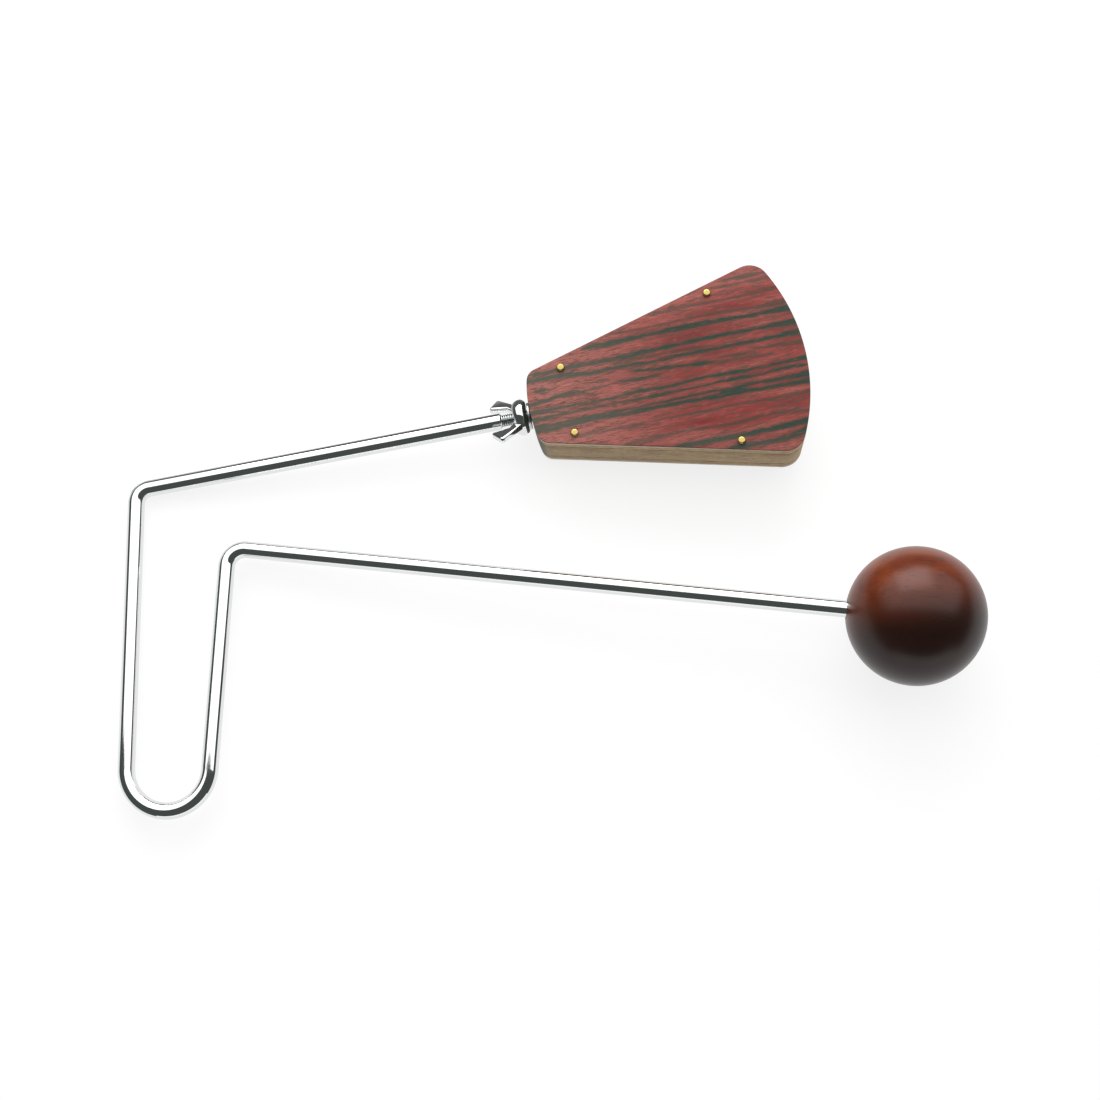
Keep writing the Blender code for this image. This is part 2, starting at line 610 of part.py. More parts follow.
def table_normal(centre):
    """Upward normal of the table that the object comes to rest on, back cover down.

    Of all trios of touch points that stand round the centre of mass, the table meets the
    one whose plane passes lowest under that centre.
    """
    normal = np.array((0.0, 0.0, 1.0))
    for _ in range(4):
        spots = touch_points(-normal)
        trios = np.array(list(combinations(range(len(spots)), 3)))
        a = spots[trios[:, 0]]
        ab = spots[trios[:, 1]] - a
        ac = spots[trios[:, 2]] - a
        reach = centre - a
        area = ab[:, 0]*ac[:, 1] - ab[:, 1]*ac[:, 0]
        area[abs(area) < 1e-12] = np.nan
        s = (reach[:, 0]*ac[:, 1] - reach[:, 1]*ac[:, 0])/area
        t = (ab[:, 0]*reach[:, 1] - ab[:, 1]*reach[:, 0])/area
        height = a[:, 2] + s*ab[:, 2] + t*ac[:, 2]
        height[~((s >= 0) & (t >= 0) & (s + t <= 1))] = np.inf
        pick = int(np.argmin(height))
        normal = np.cross(ab[pick], ac[pick])
        normal = normal/np.linalg.norm(normal)*np.sign(normal[2])
    return normal


def extent(graph):
    """Lowest and highest corner of everything that is built, in the world."""
    low = np.full(3, np.inf)
    high = -low
    for piece in bpy.context.scene.objects:
        if piece.type == "EMPTY" or piece.hide_render:
            continue
        shape = piece.evaluated_get(graph)
        spots = [piece.matrix_world @ v.co for v in shape.to_mesh().vertices]
        low = np.minimum(low, np.min(spots, axis=0))
        high = np.maximum(high, np.max(spots, axis=0))
        shape.to_mesh_clear()
    return low, high


def lay_down(root):
    """Turn the object to its resting attitude and put the origin under its middle."""
    centre = weigh({"chromed steel": STEEL, "zinc-plated steel": STEEL, "brass": BRASS,
                    "stained wood": BEECH, "plain wood": BEECH, "laminate": LAMINATE})
    up = Vector(table_normal(centre))
    level = up.rotation_difference(Vector((0, 0, 1))).to_matrix().to_4x4()
    ahead = level.to_3x3() @ Vector((1, 0, 0))
    square = Matrix.Rotation(AXIS_RISE - math.atan2(ahead.y, ahead.x), 4, "Z")
    root.matrix_world = square @ level
    bpy.context.view_layer.update()
    low, high = extent(bpy.context.evaluated_depsgraph_get())
    middle = Vector(((low[0] + high[0])/2, (low[1] + high[1])/2, low[2]))
    root.matrix_world = Matrix.Translation(-middle) @ square @ level


def main():
    clear_scene()
    chrome = finish("chromed steel", (0.78, 0.79, 0.80), 0.08, 1.0)
    steel = finish("zinc-plated steel", (0.62, 0.63, 0.64), 0.32, 1.0)
    brass = finish("brass", (0.83, 0.66, 0.28), 0.25, 1.0)
    stained = finish("stained wood", (0.16, 0.045, 0.02), 0.3)
    plain = finish("plain wood", (0.42, 0.31, 0.19), 0.6)
    laminate = finish("laminate", (0.42, 0.09, 0.10), 0.45)
    root = bpy.data.objects.new("placement", None)
    bpy.context.scene.collection.objects.link(root)
    box = bpy.data.objects.new("box_placement", None)
    bpy.context.scene.collection.objects.link(box)
    box.parent = root
    box.matrix_local = BOX_SEAT
    make_rod(root, chrome)
    make_ball(root, stained)
    make_washer("washer", WASHER, WASHER_THICKNESS, WASHER_SEAT, -1, root, steel)
    make_wing_nut(root, chrome)
    make_frame(box, plain)
    make_cover("front_cover", 1, box, laminate)
    make_cover("back_cover", -1, box, laminate)
    make_pins(box, brass)
    make_plate(box, steel)
    make_washer("inner_washer", INNER_WASHER, INNER_WASHER_THICKNESS, INNER_WASHER_SEAT, 1, root,
                steel)
    make_inner_nut(root, steel)
    make_rivets(box, steel)
    lay_down(root)
    bpy.context.view_layer.update()


main()
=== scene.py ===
import json
import math

import bmesh
import bpy
from mathutils import Matrix, Vector


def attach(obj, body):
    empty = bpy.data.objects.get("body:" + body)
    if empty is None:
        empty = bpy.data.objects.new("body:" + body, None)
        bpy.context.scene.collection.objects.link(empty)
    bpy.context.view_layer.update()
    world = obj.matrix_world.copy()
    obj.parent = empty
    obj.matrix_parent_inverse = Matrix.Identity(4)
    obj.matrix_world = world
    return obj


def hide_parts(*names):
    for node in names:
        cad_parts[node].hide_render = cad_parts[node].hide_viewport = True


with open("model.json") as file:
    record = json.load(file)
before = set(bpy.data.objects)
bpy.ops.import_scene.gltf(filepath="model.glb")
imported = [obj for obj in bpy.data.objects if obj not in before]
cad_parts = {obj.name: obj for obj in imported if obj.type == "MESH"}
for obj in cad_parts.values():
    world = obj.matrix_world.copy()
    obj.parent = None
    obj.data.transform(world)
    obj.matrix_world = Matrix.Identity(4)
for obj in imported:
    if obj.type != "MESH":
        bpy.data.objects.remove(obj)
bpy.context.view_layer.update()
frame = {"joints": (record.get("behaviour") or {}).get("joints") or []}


# Bent rod: one length of 7.5 mm bright chromed steel bar, bent cold at the upper corner, round
# the grip's U and at the lower corner. The end in the box is turned down and cut with an M6
# thread, which holds dark grime in its roots.
ROD = 0.0075
THREAD = 0.006
THREAD_ROOT = 0.00495
PITCH = 0.001
SHOULDER_CHAMFER = 0.0005
ARM = 0.1827
ARM_BEND = math.radians(80.68)
ARM_BEND_RADIUS = 0.007
LEFT_LEG = 0.1243
GRIP_RADIUS = 0.01842
GRIP_TURN = math.radians(176.83)
RIGHT_LEG = 0.0982
LOWER_BEND = math.radians(94.07)
LOWER_BEND_RADIUS = 0.008
LOWER_ARM = 0.3025
BALL = 0.060
BALL_SOCKET = 0.018
GAP = 0.0003

joints = {joint["name"]: joint for joint in frame["joints"]}
ahead = Vector(joints["box_turn"]["axis"]).normalized()
upward = Vector(joints["rivet_01_jump"]["axis"]).normalized()
sideways = upward.cross(ahead)
bolt = Matrix.Translation(Vector(joints["box_turn"]["pos_m"])) @ Matrix(
    (ahead, sideways, upward)).transposed().to_4x4()


class Shade:
    """One socket of a finish's node tree. Sums on it add Math nodes."""

    def __init__(self, tree, socket=None):
        self.tree = tree
        self.socket = socket

    def node(self, kind, settings=None, sockets=None, output=0):
        """Add a node: its settings first, then the values or links of its sockets."""
        made = self.tree.nodes.new("ShaderNode" + kind)
        for name, value in (settings or {}).items():
            if name == "stops":
                stops = made.color_ramp.elements
                while len(stops) < len(value):
                    stops.new(1.0)
                for stop, (place, colour) in zip(stops, value):
                    stop.position = place
                    stop.color = (*colour, 1.0)
            elif name == "points":
                line = made.mapping.curves[0].points
                while len(line) < len(value):
                    line.new(1.0, 1.0)
                for point, place in zip(line, value):
                    point.location = place
                made.mapping.update()
            else:
                setattr(made, name, value)
        for name, value in (sockets or {}).items():
            if isinstance(value, Shade):
                self.tree.links.new(value.socket, made.inputs[name])
            else:
                made.inputs[name].default_value = value
        return Shade(self.tree, made.outputs[output])

    def sum(self, operation, first, second=0.0, clamp=False):
        return self.node("Math", {"operation": operation, "use_clamp": clamp},
                         {0: first, 1: second})

    def __add__(self, other):
        return self.sum("ADD", self, other)

    def __radd__(self, other):
        return self.sum("ADD", other, self)

    def __sub__(self, other):
        return self.sum("SUBTRACT", self, other)

    def __rsub__(self, other):
        return self.sum("SUBTRACT", other, self)

    def __mul__(self, other):
        return self.sum("MULTIPLY", self, other)

    def __rmul__(self, other):
        return self.sum("MULTIPLY", other, self)

    def __truediv__(self, other):
        return self.sum("DIVIDE", self, other)

    def __abs__(self):
        return self.sum("ABSOLUTE", self)

    def larger(self, other):
        return self.sum("MAXIMUM", self, other)

    def smaller(self, other):
        return self.sum("MINIMUM", self, other)

    def step(self, low, high):
        """A smooth rise from 0 at low to 1 at high."""
        return self.node("MapRange", {"interpolation_type": "SMOOTHSTEP"},
                         {"Value": self, "From Min": low, "From Max": high})

    def tint(self, share, other, blend="MIX"):
        """This colour with a share of another laid over it."""
        return self.node("Mix", {"data_type": "RGBA", "blend_type": blend, "clamp_factor": True},
                         {0: share, 6: self, 7: other}, 2)

    def ramp(self, *stops):
        """The colour that a row of (place, colour) stops gives this value."""
        return self.node("ValToRGB", {"stops": stops}, {"Fac": self})

    def noise(self, scale, detail=2.0, rough=0.5):
        return self.node("TexNoise", None, {"Vector": self, "Scale": scale, "Detail": detail,
                                            "Roughness": rough})

    def stretch(self, x, y, z):
        return self.node("VectorMath", {"operation": "MULTIPLY"}, {0: self, 1: (x, y, z)})

    def coordinate(self, i):
        return self.node("SeparateXYZ", None, {0: self}, i)


class Finish:
    """A Principled finish whose plain values are set here and whose patterns are linked later."""

    def __init__(self, name, colour, roughness, metallic=0.0, **plain):
        self.material = bpy.data.materials.new(name)
        self.material.use_nodes = True
        self.tree = self.material.node_tree
        self.surface = self.tree.nodes["Principled BSDF"]
        self.set("Base Color", (*colour, 1.0))
        self.set("Roughness", roughness)
        self.set("Metallic", metallic)
        for socket, value in plain.items():
            self.set(socket.replace("_", " "), value)
        self.material.diffuse_color = (*colour, 1.0)

    def set(self, socket, value):
        if isinstance(value, Shade):
            self.tree.links.new(value.socket, self.surface.inputs[socket])
        else:
            self.surface.inputs[socket].default_value = value

    def seated(self, seat):
        """Object coordinates in metres in a piece's own frame, given its seat in the world."""
        back = seat.inverted()
        whole = Shade(self.tree).node("TexCoord", None, None, 3)
        return whole.node("Mapping", None, {"Vector": whole, "Location": back.translation,
                                            "Rotation": back.to_euler("XYZ")})

    def relief(self, height, distance, strength=1.0):
        self.set("Normal", height.node("Bump", None, {"Height": height, "Distance": distance,
                                                      "Strength": strength}))


def rim_of(made):
    return [edge for edge in made if isinstance(edge, bmesh.types.BMEdge)]


def draw_out(shape, rim, along):
    """Pull an open rim along a straight run, and give the new rim."""
    made = bmesh.ops.extrude_edge_only(shape, edges=rim)["geom"]
    ends = {vert for vert in made if isinstance(vert, bmesh.types.BMVert)}
    bmesh.ops.translate(shape, vec=along, verts=list(ends))
    return [edge for edge in rim_of(made) if set(edge.verts) <= ends]


def swing(shape, rim, centre, angle, steps):
    """Carry an open rim round a bend in the plane of the rod, and give the new rim."""
    made = bmesh.ops.spin(shape, geom=rim, cent=centre, axis=(0, 0, 1), angle=angle, steps=steps)
    return rim_of(made["geom_last"])


def draw_to(shape, corner, *spots):
    """Draw straight edges from a corner to each spot in turn, and give the last corner."""
    for spot in spots:
        corner = bmesh.ops.extrude_vert_indiv(shape, verts=[corner])["verts"][0]
        corner.co = spot
    return corner


def draw_round(shape, corner, centre, axis, angle, steps):
    """Draw an arc from a corner about a centre, and give the corner where it ends."""
    made = bmesh.ops.spin(shape, geom=[corner], cent=centre, axis=axis, angle=angle, steps=steps)
    return [vert for vert in made["geom_last"] if isinstance(vert, bmesh.types.BMVert)][0]


def turn_up(shape, steps, axis=(1, 0, 0)):
    """Turn a drawn profile once round an axis through the origin, as on a lathe."""
    bmesh.ops.spin(shape, geom=shape.verts[:] + shape.edges[:], cent=(0, 0, 0), axis=axis,
                   angle=2*math.pi, steps=steps, use_merge=True)
    bmesh.ops.remove_doubles(shape, verts=shape.verts, dist=1e-7)
    bmesh.ops.recalc_face_normals(shape, faces=shape.faces)


def add_piece(name, shape, seat, finish, body, nodes, sharp=32):
    """Set a finished shape in its seat as one piece that stands for its CAD nodes."""
    bmesh.ops.transform(shape, matrix=seat, verts=shape.verts)
    data = bpy.data.meshes.new(name)
    shape.to_mesh(data)
    shape.free()
    data.materials.append(finish.material)
    data.shade_smooth()
    data.set_sharp_from_angle(angle=math.radians(sharp))
    piece = bpy.data.objects.new(name, data)
    bpy.context.scene.collection.objects.link(piece)
    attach(piece, body)
    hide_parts(*nodes)


WASHER_THICKNESS = 0.0010
WING_HUB_HEIGHT = 0.0066
THREAD_SHOWING = 0.0052
NARROW_WIDTH = 0.0325
NARROW_CROWN = 0.0576
ASKEW = math.radians(1.54)
NARROW_CENTRE = math.sqrt(NARROW_CROWN**2 - (NARROW_WIDTH/2)**2)
WASHER_SEAT = NARROW_CENTRE*math.cos(ASKEW) - NARROW_CROWN - GAP
NUT_SEAT = WASHER_SEAT - WASHER_THICKNESS - GAP
SHOULDER = NUT_SEAT - WING_HUB_HEIGHT - THREAD_SHOWING
END_BLOCK = 0.024
PLATE = 0.0012
INNER_WASHER = 0.011
INNER_WASHER_THICKNESS = 0.0016
NUT_HEIGHT = 0.005
THREAD_PROUD = 0.0015
PLATE_FACE = (END_BLOCK + GAP + PLATE)*math.cos(ASKEW) + INNER_WASHER/2*math.sin(ASKEW)
INNER_NUT_SEAT = PLATE_FACE + GAP + INNER_WASHER_THICKNESS + GAP
THREAD_END = INNER_NUT_SEAT + NUT_HEIGHT + THREAD_PROUD
ROD_SIDES = 64
BEND_STEP = math.radians(3)

rod = bmesh.new()
bmesh.ops.create_circle(rod, segments=ROD_SIDES, radius=ROD/2)
bmesh.ops.rotate(rod, cent=(0, 0, 0), matrix=Matrix.Rotation(math.pi/2, 3, "Y"), verts=rod.verts)
bmesh.ops.translate(rod, vec=(SHOULDER - SHOULDER_CHAMFER, 0, 0), verts=rod.verts)
first_rim = rod.edges[:]
arm_trim = ARM_BEND_RADIUS*math.tan(ARM_BEND/2)
lower_trim = LOWER_BEND_RADIUS*math.tan(LOWER_BEND/2)
in_ball = BALL/2 - BALL_SOCKET + GAP
spot = Vector((SHOULDER - SHOULDER_CHAMFER, 0, 0))
heading = math.pi
rim = first_rim
for run, turn, radius in ((ARM + SHOULDER - SHOULDER_CHAMFER - arm_trim, ARM_BEND, ARM_BEND_RADIUS),
                          (LEFT_LEG - arm_trim, GRIP_TURN, GRIP_RADIUS),
                          (RIGHT_LEG - lower_trim, -LOWER_BEND, LOWER_BEND_RADIUS),
                          (LOWER_ARM - lower_trim - in_ball, 0, 0)):
    along = Vector((math.cos(heading), math.sin(heading), 0))*run
    rim = draw_out(rod, rim, along)
    spot = spot + along
    if turn:
        lean = heading + math.copysign(math.pi/2, turn)
        centre = spot + Vector((math.cos(lean), math.sin(lean), 0))*radius
        rim = swing(rod, rim, centre, turn, math.ceil(abs(turn)/BEND_STEP))
        spot = centre + Matrix.Rotation(turn, 3, "Z") @ (spot - centre)
        heading += turn
ball_centre = spot + Vector((math.cos(heading), math.sin(heading), 0))*in_ball
ball_turn = Matrix.Rotation(heading, 4, "Z")
bmesh.ops.edgeloop_fill(rod, edges=rim)
shoulder_rim = draw_out(rod, first_rim, (SHOULDER_CHAMFER, 0, 0))
share = 1 - SHOULDER_CHAMFER/(ROD/2)
bmesh.ops.scale(rod, vec=(1, share, share),
                verts=list({vert for edge in shoulder_rim for vert in edge.verts}))

thread = bmesh.new()
flank = (THREAD - THREAD_ROOT)/2*math.tan(math.radians(30))
crest = PITCH/8
tip = thread.verts.new((SHOULDER - 2*PITCH, 0, THREAD_ROOT/2))
for i in range(math.ceil((THREAD_END - SHOULDER)/PITCH) + 3):
    start = SHOULDER - 2*PITCH + i*PITCH
    tip = draw_to(thread, tip, (start + flank, 0, THREAD/2), (start + flank + crest, 0, THREAD/2),
                  (start + 2*flank + crest, 0, THREAD_ROOT/2), (start + PITCH, 0, THREAD_ROOT/2))
THREAD_STEPS = 48
bmesh.ops.spin(thread, geom=thread.verts[:] + thread.edges[:], cent=(0, 0, 0), axis=(1, 0, 0),
               dvec=(PITCH/THREAD_STEPS, 0, 0), angle=2*math.pi, steps=THREAD_STEPS)
bmesh.ops.remove_doubles(thread, verts=thread.verts, dist=1e-6)
for place, way in ((SHOULDER, -1), (THREAD_END, 1)):
    bmesh.ops.bisect_plane(thread, geom=thread.verts[:] + thread.edges[:] + thread.faces[:],
                           dist=1e-7, plane_co=(place, 0, 0), plane_no=(way, 0, 0),
                           clear_outer=True)
far = [edge for edge in thread.edges
       if edge.is_boundary and edge.verts[0].co.x > THREAD_END - PITCH/4]
bmesh.ops.edgeloop_fill(thread, edges=far)
spare = bpy.data.meshes.new("thread")
thread.to_mesh(spare)
thread.free()
rod.from_mesh(spare)
bpy.data.meshes.remove(spare)
inner = [edge for edge in rod.edges if edge.is_boundary
         and max(math.hypot(v.co.y, v.co.z) for v in edge.verts) < THREAD/2 + GAP/3]
outer = [edge for edge in rod.edges if edge.is_boundary and edge not in inner]
bmesh.ops.bridge_loops(rod, edges=inner + outer)
bmesh.ops.recalc_face_normals(rod, faces=rod.faces)

chrome = Finish("bright_chrome", (0.78, 0.79, 0.80), 0.06, 1.0)
on_rod = chrome.seated(bolt)
smears = on_rod.noise(38.0, 3.0, 0.6)
hairlines = on_rod.stretch(60, 60, 900).noise(3.0, 2.0)
across = on_rod.stretch(0, 1, 1)
off_axis = across.node("VectorMath", {"operation": "LENGTH"}, {0: across}, 1)
grime = 1 - off_axis.step(0.0025, 0.0028)
plating = smears.ramp((0.3, (0.76, 0.78, 0.79)), (0.7, (0.80, 0.80, 0.80)))
chrome.set("Base Color", plating.tint(grime, (0.22, 0.24, 0.23, 1)))
chrome.set("Roughness", 0.04 + 0.05*smears.step(0.45, 0.75) + 0.02*hairlines + 0.25*grime)
chrome.relief(on_rod.noise(90.0, 2.0), 0.00002, 0.3)
add_piece("bent_rod", rod, bolt, chrome, "rod", ["rod"])


# Striking ball: turned hardwood, bored for the rod's end and glued on. It is stained dark
# red-brown and sprayed with satin lacquer; its near side, away from the lamps, is painted near
# black as painted shade.
BALL_STEPS = 96
SOCKET_COUNTERSINK = 0.0004
socket = ROD/2 + GAP
mouth = math.acos((socket + SOCKET_COUNTERSINK)/(BALL/2))
lip = -BALL/2*math.sin(mouth)

ball = bmesh.new()
corner = ball.verts.new((BALL_SOCKET - BALL/2, 0, 0))
corner = draw_to(ball, corner, (BALL_SOCKET - BALL/2, 0, socket),
                 (lip + SOCKET_COUNTERSINK, 0, socket), (lip, 0, socket + SOCKET_COUNTERSINK))
draw_round(ball, corner, (0, 0, 0), (0, 1, 0), mouth + math.pi/2, BALL_STEPS//2)
turn_up(ball, BALL_STEPS)

stain = Finish("stained_ball", (0.09, 0.02, 0.006), 0.28, Specular_IOR_Level=0.34)
ball_seat = bolt @ Matrix.Translation(ball_centre) @ ball_turn
on_ball = stain.seated(ball_seat)
figure = on_ball.stretch(18, 90, 90).noise(1.0, 4.0, 0.6)
pores = on_ball.stretch(90, 1100, 1100).noise(1.0, 2.0)
tone = figure.ramp((0.30, (0.080, 0.013, 0.003)), (0.50, (0.140, 0.024, 0.005)),
                   (0.72, (0.210, 0.043, 0.008)))
# painted shade: the colour goes near black over the ball's near side, the side away from the lamps
shade_side = on_ball.coordinate(0)*0.30 - on_ball.coordinate(1) + 0.024*(figure - 0.5)
tone = tone.tint(0.92*shade_side.step(-0.017, 0.011), (0.011, 0.005, 0.004, 1))
stain.set("Base Color", tone.tint(0.5*pores.step(0.56, 0.70), (0.030, 0.009, 0.005, 1)))
stain.set("Roughness", 0.25 + 0.10*figure)
stain.relief(pores.step(0.5, 0.75), 0.00003, 0.25)
add_piece("striking_ball", ball, ball_seat, stain, "rod", ["ball"])


# Box: everything of it shares one wedge outline, bowed at both ends and rounded at the
# corners. It sits a little askew on the bolt. Half the outline is drawn and then mirrored.
SIDE_RUN = 0.1085
TAPER = math.radians(14.73)
WIDE_CROWN = 0.0871
NARROW_CORNER = 0.0055
WIDE_CORNER = 0.009
BOX_SHIFT = -0.0008
FRAME_DEPTH = 0.0154
COVER = 0.006
CHEEK = 0.008
CAVITY_CORNER = 0.003
PIN_STATIONS = ((0.0149, 0.0048), (0.0848, 0.0039))
PIN_SHANK = 0.0016
PIN_LENGTH = 0.0127
PIN_HOLE = PIN_SHANK/2 + GAP
THREAD_BORE = THREAD/2 + GAP
NARROW_HALF = NARROW_WIDTH/2
WIDE_HALF = NARROW_HALF + SIDE_RUN*math.tan(TAPER)
WIDE_CENTRE = SIDE_RUN - math.sqrt(WIDE_CROWN**2 - WIDE_HALF**2)
COVER_FACE = FRAME_DEPTH/2 + GAP + COVER
box_seat = bolt @ Matrix.Translation((0, BOX_SHIFT, 0)) @ Matrix.Rotation(ASKEW, 4, "Z")


def side_at(x):
    """Half the box's width at a station on its centre line."""
    return NARROW_HALF + x*math.tan(TAPER)


def corner_centre(crown_centre, crown, radius, side):
    """Centre of the round between the straight side and one of the bowed ends."""
    along = Vector((math.cos(TAPER), math.sin(TAPER)))
    foot = Vector((0, NARROW_HALF)) - Vector((-math.sin(TAPER), math.cos(TAPER)))*radius
    reach = foot - Vector((crown_centre, 0))
    middle = reach.dot(along)
    root = math.sqrt(middle**2 - reach.length_squared + (crown - radius)**2)
    return foot + along*(side*root - middle)


narrow_spot = corner_centre(NARROW_CENTRE, NARROW_CROWN, NARROW_CORNER, -1)
wide_spot = corner_centre(WIDE_CENTRE, WIDE_CROWN, WIDE_CORNER, 1)
side_normal = math.pi/2 + TAPER
narrow_turn = math.atan2(narrow_spot.y, narrow_spot.x - NARROW_CENTRE)
wide_turn = math.atan2(wide_spot.y, wide_spot.x - WIDE_CENTRE)


def draw_wedge(shape, height):
    """Draw the narrow end, one side and its two corners; gives the corner that it ends on."""
    at = shape.verts.new((NARROW_CENTRE - NARROW_CROWN, 0, height))
    at = draw_round(shape, at, (NARROW_CENTRE, 0, height), (0, 0, 1), narrow_turn - math.pi, 16)
    at = draw_round(shape, at, (*narrow_spot, height), (0, 0, 1), side_normal - narrow_turn, 14)
    at = draw_to(shape, at, (wide_spot.x + WIDE_CORNER*math.cos(side_normal),
                             wide_spot.y + WIDE_CORNER*math.sin(side_normal), height))
    return draw_round(shape, at, (*wide_spot, height), (0, 0, 1), wide_turn - side_normal, 18)


def board(shape, depth, edge):
    """Mirror a drawn half outline, fill it, give it its thickness and ease its edges."""
    bmesh.ops.mirror(shape, geom=shape.verts[:] + shape.edges[:], axis="Y", merge_dist=1e-6)
    bmesh.ops.edgeloop_fill(shape, edges=shape.edges)
    made = bmesh.ops.extrude_face_region(shape, geom=shape.faces[:])["geom"]
    bmesh.ops.translate(shape, vec=(0, 0, depth),
                        verts=[v for v in made if isinstance(v, bmesh.types.BMVert)])
    bmesh.ops.recalc_face_normals(shape, faces=shape.faces)
    rims = [e for e in shape.edges if abs(e.verts[0].co.z - e.verts[1].co.z) < depth/2]
    bmesh.ops.bevel(shape, geom=rims, offset=edge, offset_type="OFFSET", segments=3, profile=0.5,
                    affect="EDGES", material=-1, clamp_overlap=True)


def machine(shape, operation, *tools):
    """Cut tools out of a shape, or join them to it, one after another."""
    spares = []
    for each in (shape, *tools):
        data = bpy.data.meshes.new("machined")
        each.to_mesh(data)
        each.free()
        spare = bpy.data.objects.new("machined", data)
        bpy.context.scene.collection.objects.link(spare)
        spares.append(spare)
    for tool in spares[1:]:
        work = spares[0].modifiers.new("work", "BOOLEAN")
        work.operation = operation
        work.solver = "EXACT"
        work.object = tool
    bpy.context.view_layer.update()
    graph = bpy.context.evaluated_depsgraph_get()
    done = bmesh.new()
    done.from_mesh(spares[0].evaluated_get(graph).to_mesh())
    for spare in spares:
        data = spare.data
        bpy.data.objects.remove(spare)
        bpy.data.meshes.remove(data)
    return done


def drill(radius, start, end, x=0.0, y=0.0, sides=40):
    """The waste of a hole drilled from start to end along Z."""
    bit = bmesh.new()
    bmesh.ops.create_cone(bit, cap_ends=True, segments=sides, radius1=radius, radius2=radius,
                          depth=end - start)
    bmesh.ops.translate(bit, vec=(x, y, (start + end)/2), verts=bit.verts)
    return bit


def bolt_drill(start, end):
    """The waste of the thread's hole, in the box's frame but along the bolt."""
    bit = drill(THREAD_BORE, start, end)
    lie_along = Matrix.Rotation(math.pi/2, 4, "Y")
    bmesh.ops.transform(bit, matrix=box_seat.inverted() @ bolt @ lie_along, verts=bit.verts)
    return bit


pin_places = [(x, side*(side_at(x) - inset/math.cos(TAPER))) for x, inset in PIN_STATIONS
              for side in (1, -1)]


# Box frame: a horseshoe sawn from one plain hardwood board, two cheeks and an end block in
# one piece, open at the wide end and drilled for the bolt and the pins. It is sanded and
# sealed; its narrow end is painted dark greenish as painted shade, which the chrome hub mirrors.
FRAME_EDGE = 0.0003
END_PAINTED_SHADE = (0.030, 0.045, 0.036, 1)
END_SHADE_RUN = (-0.0012, 0.0020)
slope = math.tan(TAPER)
inner_half = NARROW_HALF - CHEEK/math.cos(TAPER)
square = 1 + slope**2
linear = inner_half*slope - WIDE_CENTRE
constant = WIDE_CENTRE**2 + inner_half**2 - WIDE_CROWN**2
mouth_x = (math.sqrt(linear**2 - square*constant) - linear)/square
mouth_turn = math.atan2(inner_half + mouth_x*slope, mouth_x - WIDE_CENTRE)

horseshoe = bmesh.new()
at = draw_wedge(horseshoe, -FRAME_DEPTH/2)
at = draw_round(horseshoe, at, (WIDE_CENTRE, 0, -FRAME_DEPTH/2), (0, 0, 1),
                mouth_turn - wide_turn, 5)
root = draw_to(horseshoe, at, (END_BLOCK, inner_half + END_BLOCK*slope, -FRAME_DEPTH/2))
draw_to(horseshoe, root, (END_BLOCK, 0, -FRAME_DEPTH/2))
bmesh.ops.bevel(horseshoe, geom=[root], offset=CAVITY_CORNER, offset_type="OFFSET", segments=8,
                profile=0.5, affect="VERTICES", material=-1)
board(horseshoe, FRAME_DEPTH, FRAME_EDGE)
bits = [bolt_drill(-CHEEK, END_BLOCK + CHEEK/2)]
hole_end = COVER_FACE - PIN_LENGTH
for x, y in pin_places:
    bits.append(drill(PIN_HOLE, hole_end, FRAME_DEPTH, x, y, 20))
    bits.append(drill(PIN_HOLE, -FRAME_DEPTH, -hole_end, x, y, 20))
horseshoe = machine(horseshoe, "DIFFERENCE", *bits)

plain_wood = Finish("plain_hardwood", (0.29, 0.20, 0.11), 0.55, Specular_IOR_Level=0.3)
in_box = plain_wood.seated(box_seat)
rings = in_box.stretch(9, 190, 260).noise(1.0, 4.0, 0.6)
fibres = in_box.stretch(60, 1900, 1900).noise(1.0, 3.0, 0.6)
tan = rings.ramp((0.28, (0.390, 0.255, 0.116)), (0.50, (0.490, 0.335, 0.162)),
                 (0.74, (0.590, 0.425, 0.230)))
specks = in_box.stretch(420, 420, 1300).noise(1.0, 3.0, 0.6)
patches = in_box.stretch(60, 60, 120).noise(1.0, 2.0)
along_box = in_box.coordinate(0)
tan = tan.tint(0.45*patches.step(0.50, 0.66), (0.300, 0.165, 0.085, 1))
tan = tan.tint(0.5*specks.step(0.48, 0.66), (0.170, 0.110, 0.060, 1))
# painted shade: the wood goes greyer, then dark greenish, towards and over the narrow end
tan = tan.tint(0.5*(1 - along_box.step(-0.002, 0.008)), (0.200, 0.200, 0.150, 1))
tan = tan.tint(0.96*(1 - along_box.step(*END_SHADE_RUN)), END_PAINTED_SHADE)
plain_wood.set("Base Color", tan.tint(0.35*fibres.step(0.52, 0.72), (0.140, 0.095, 0.052, 1)))
plain_wood.set("Roughness", 0.48 + 0.18*rings)
plain_wood.relief(fibres, 0.00006, 0.5)
add_piece("horseshoe_frame", horseshoe, box_seat, plain_wood, "box", ["box_frame"])


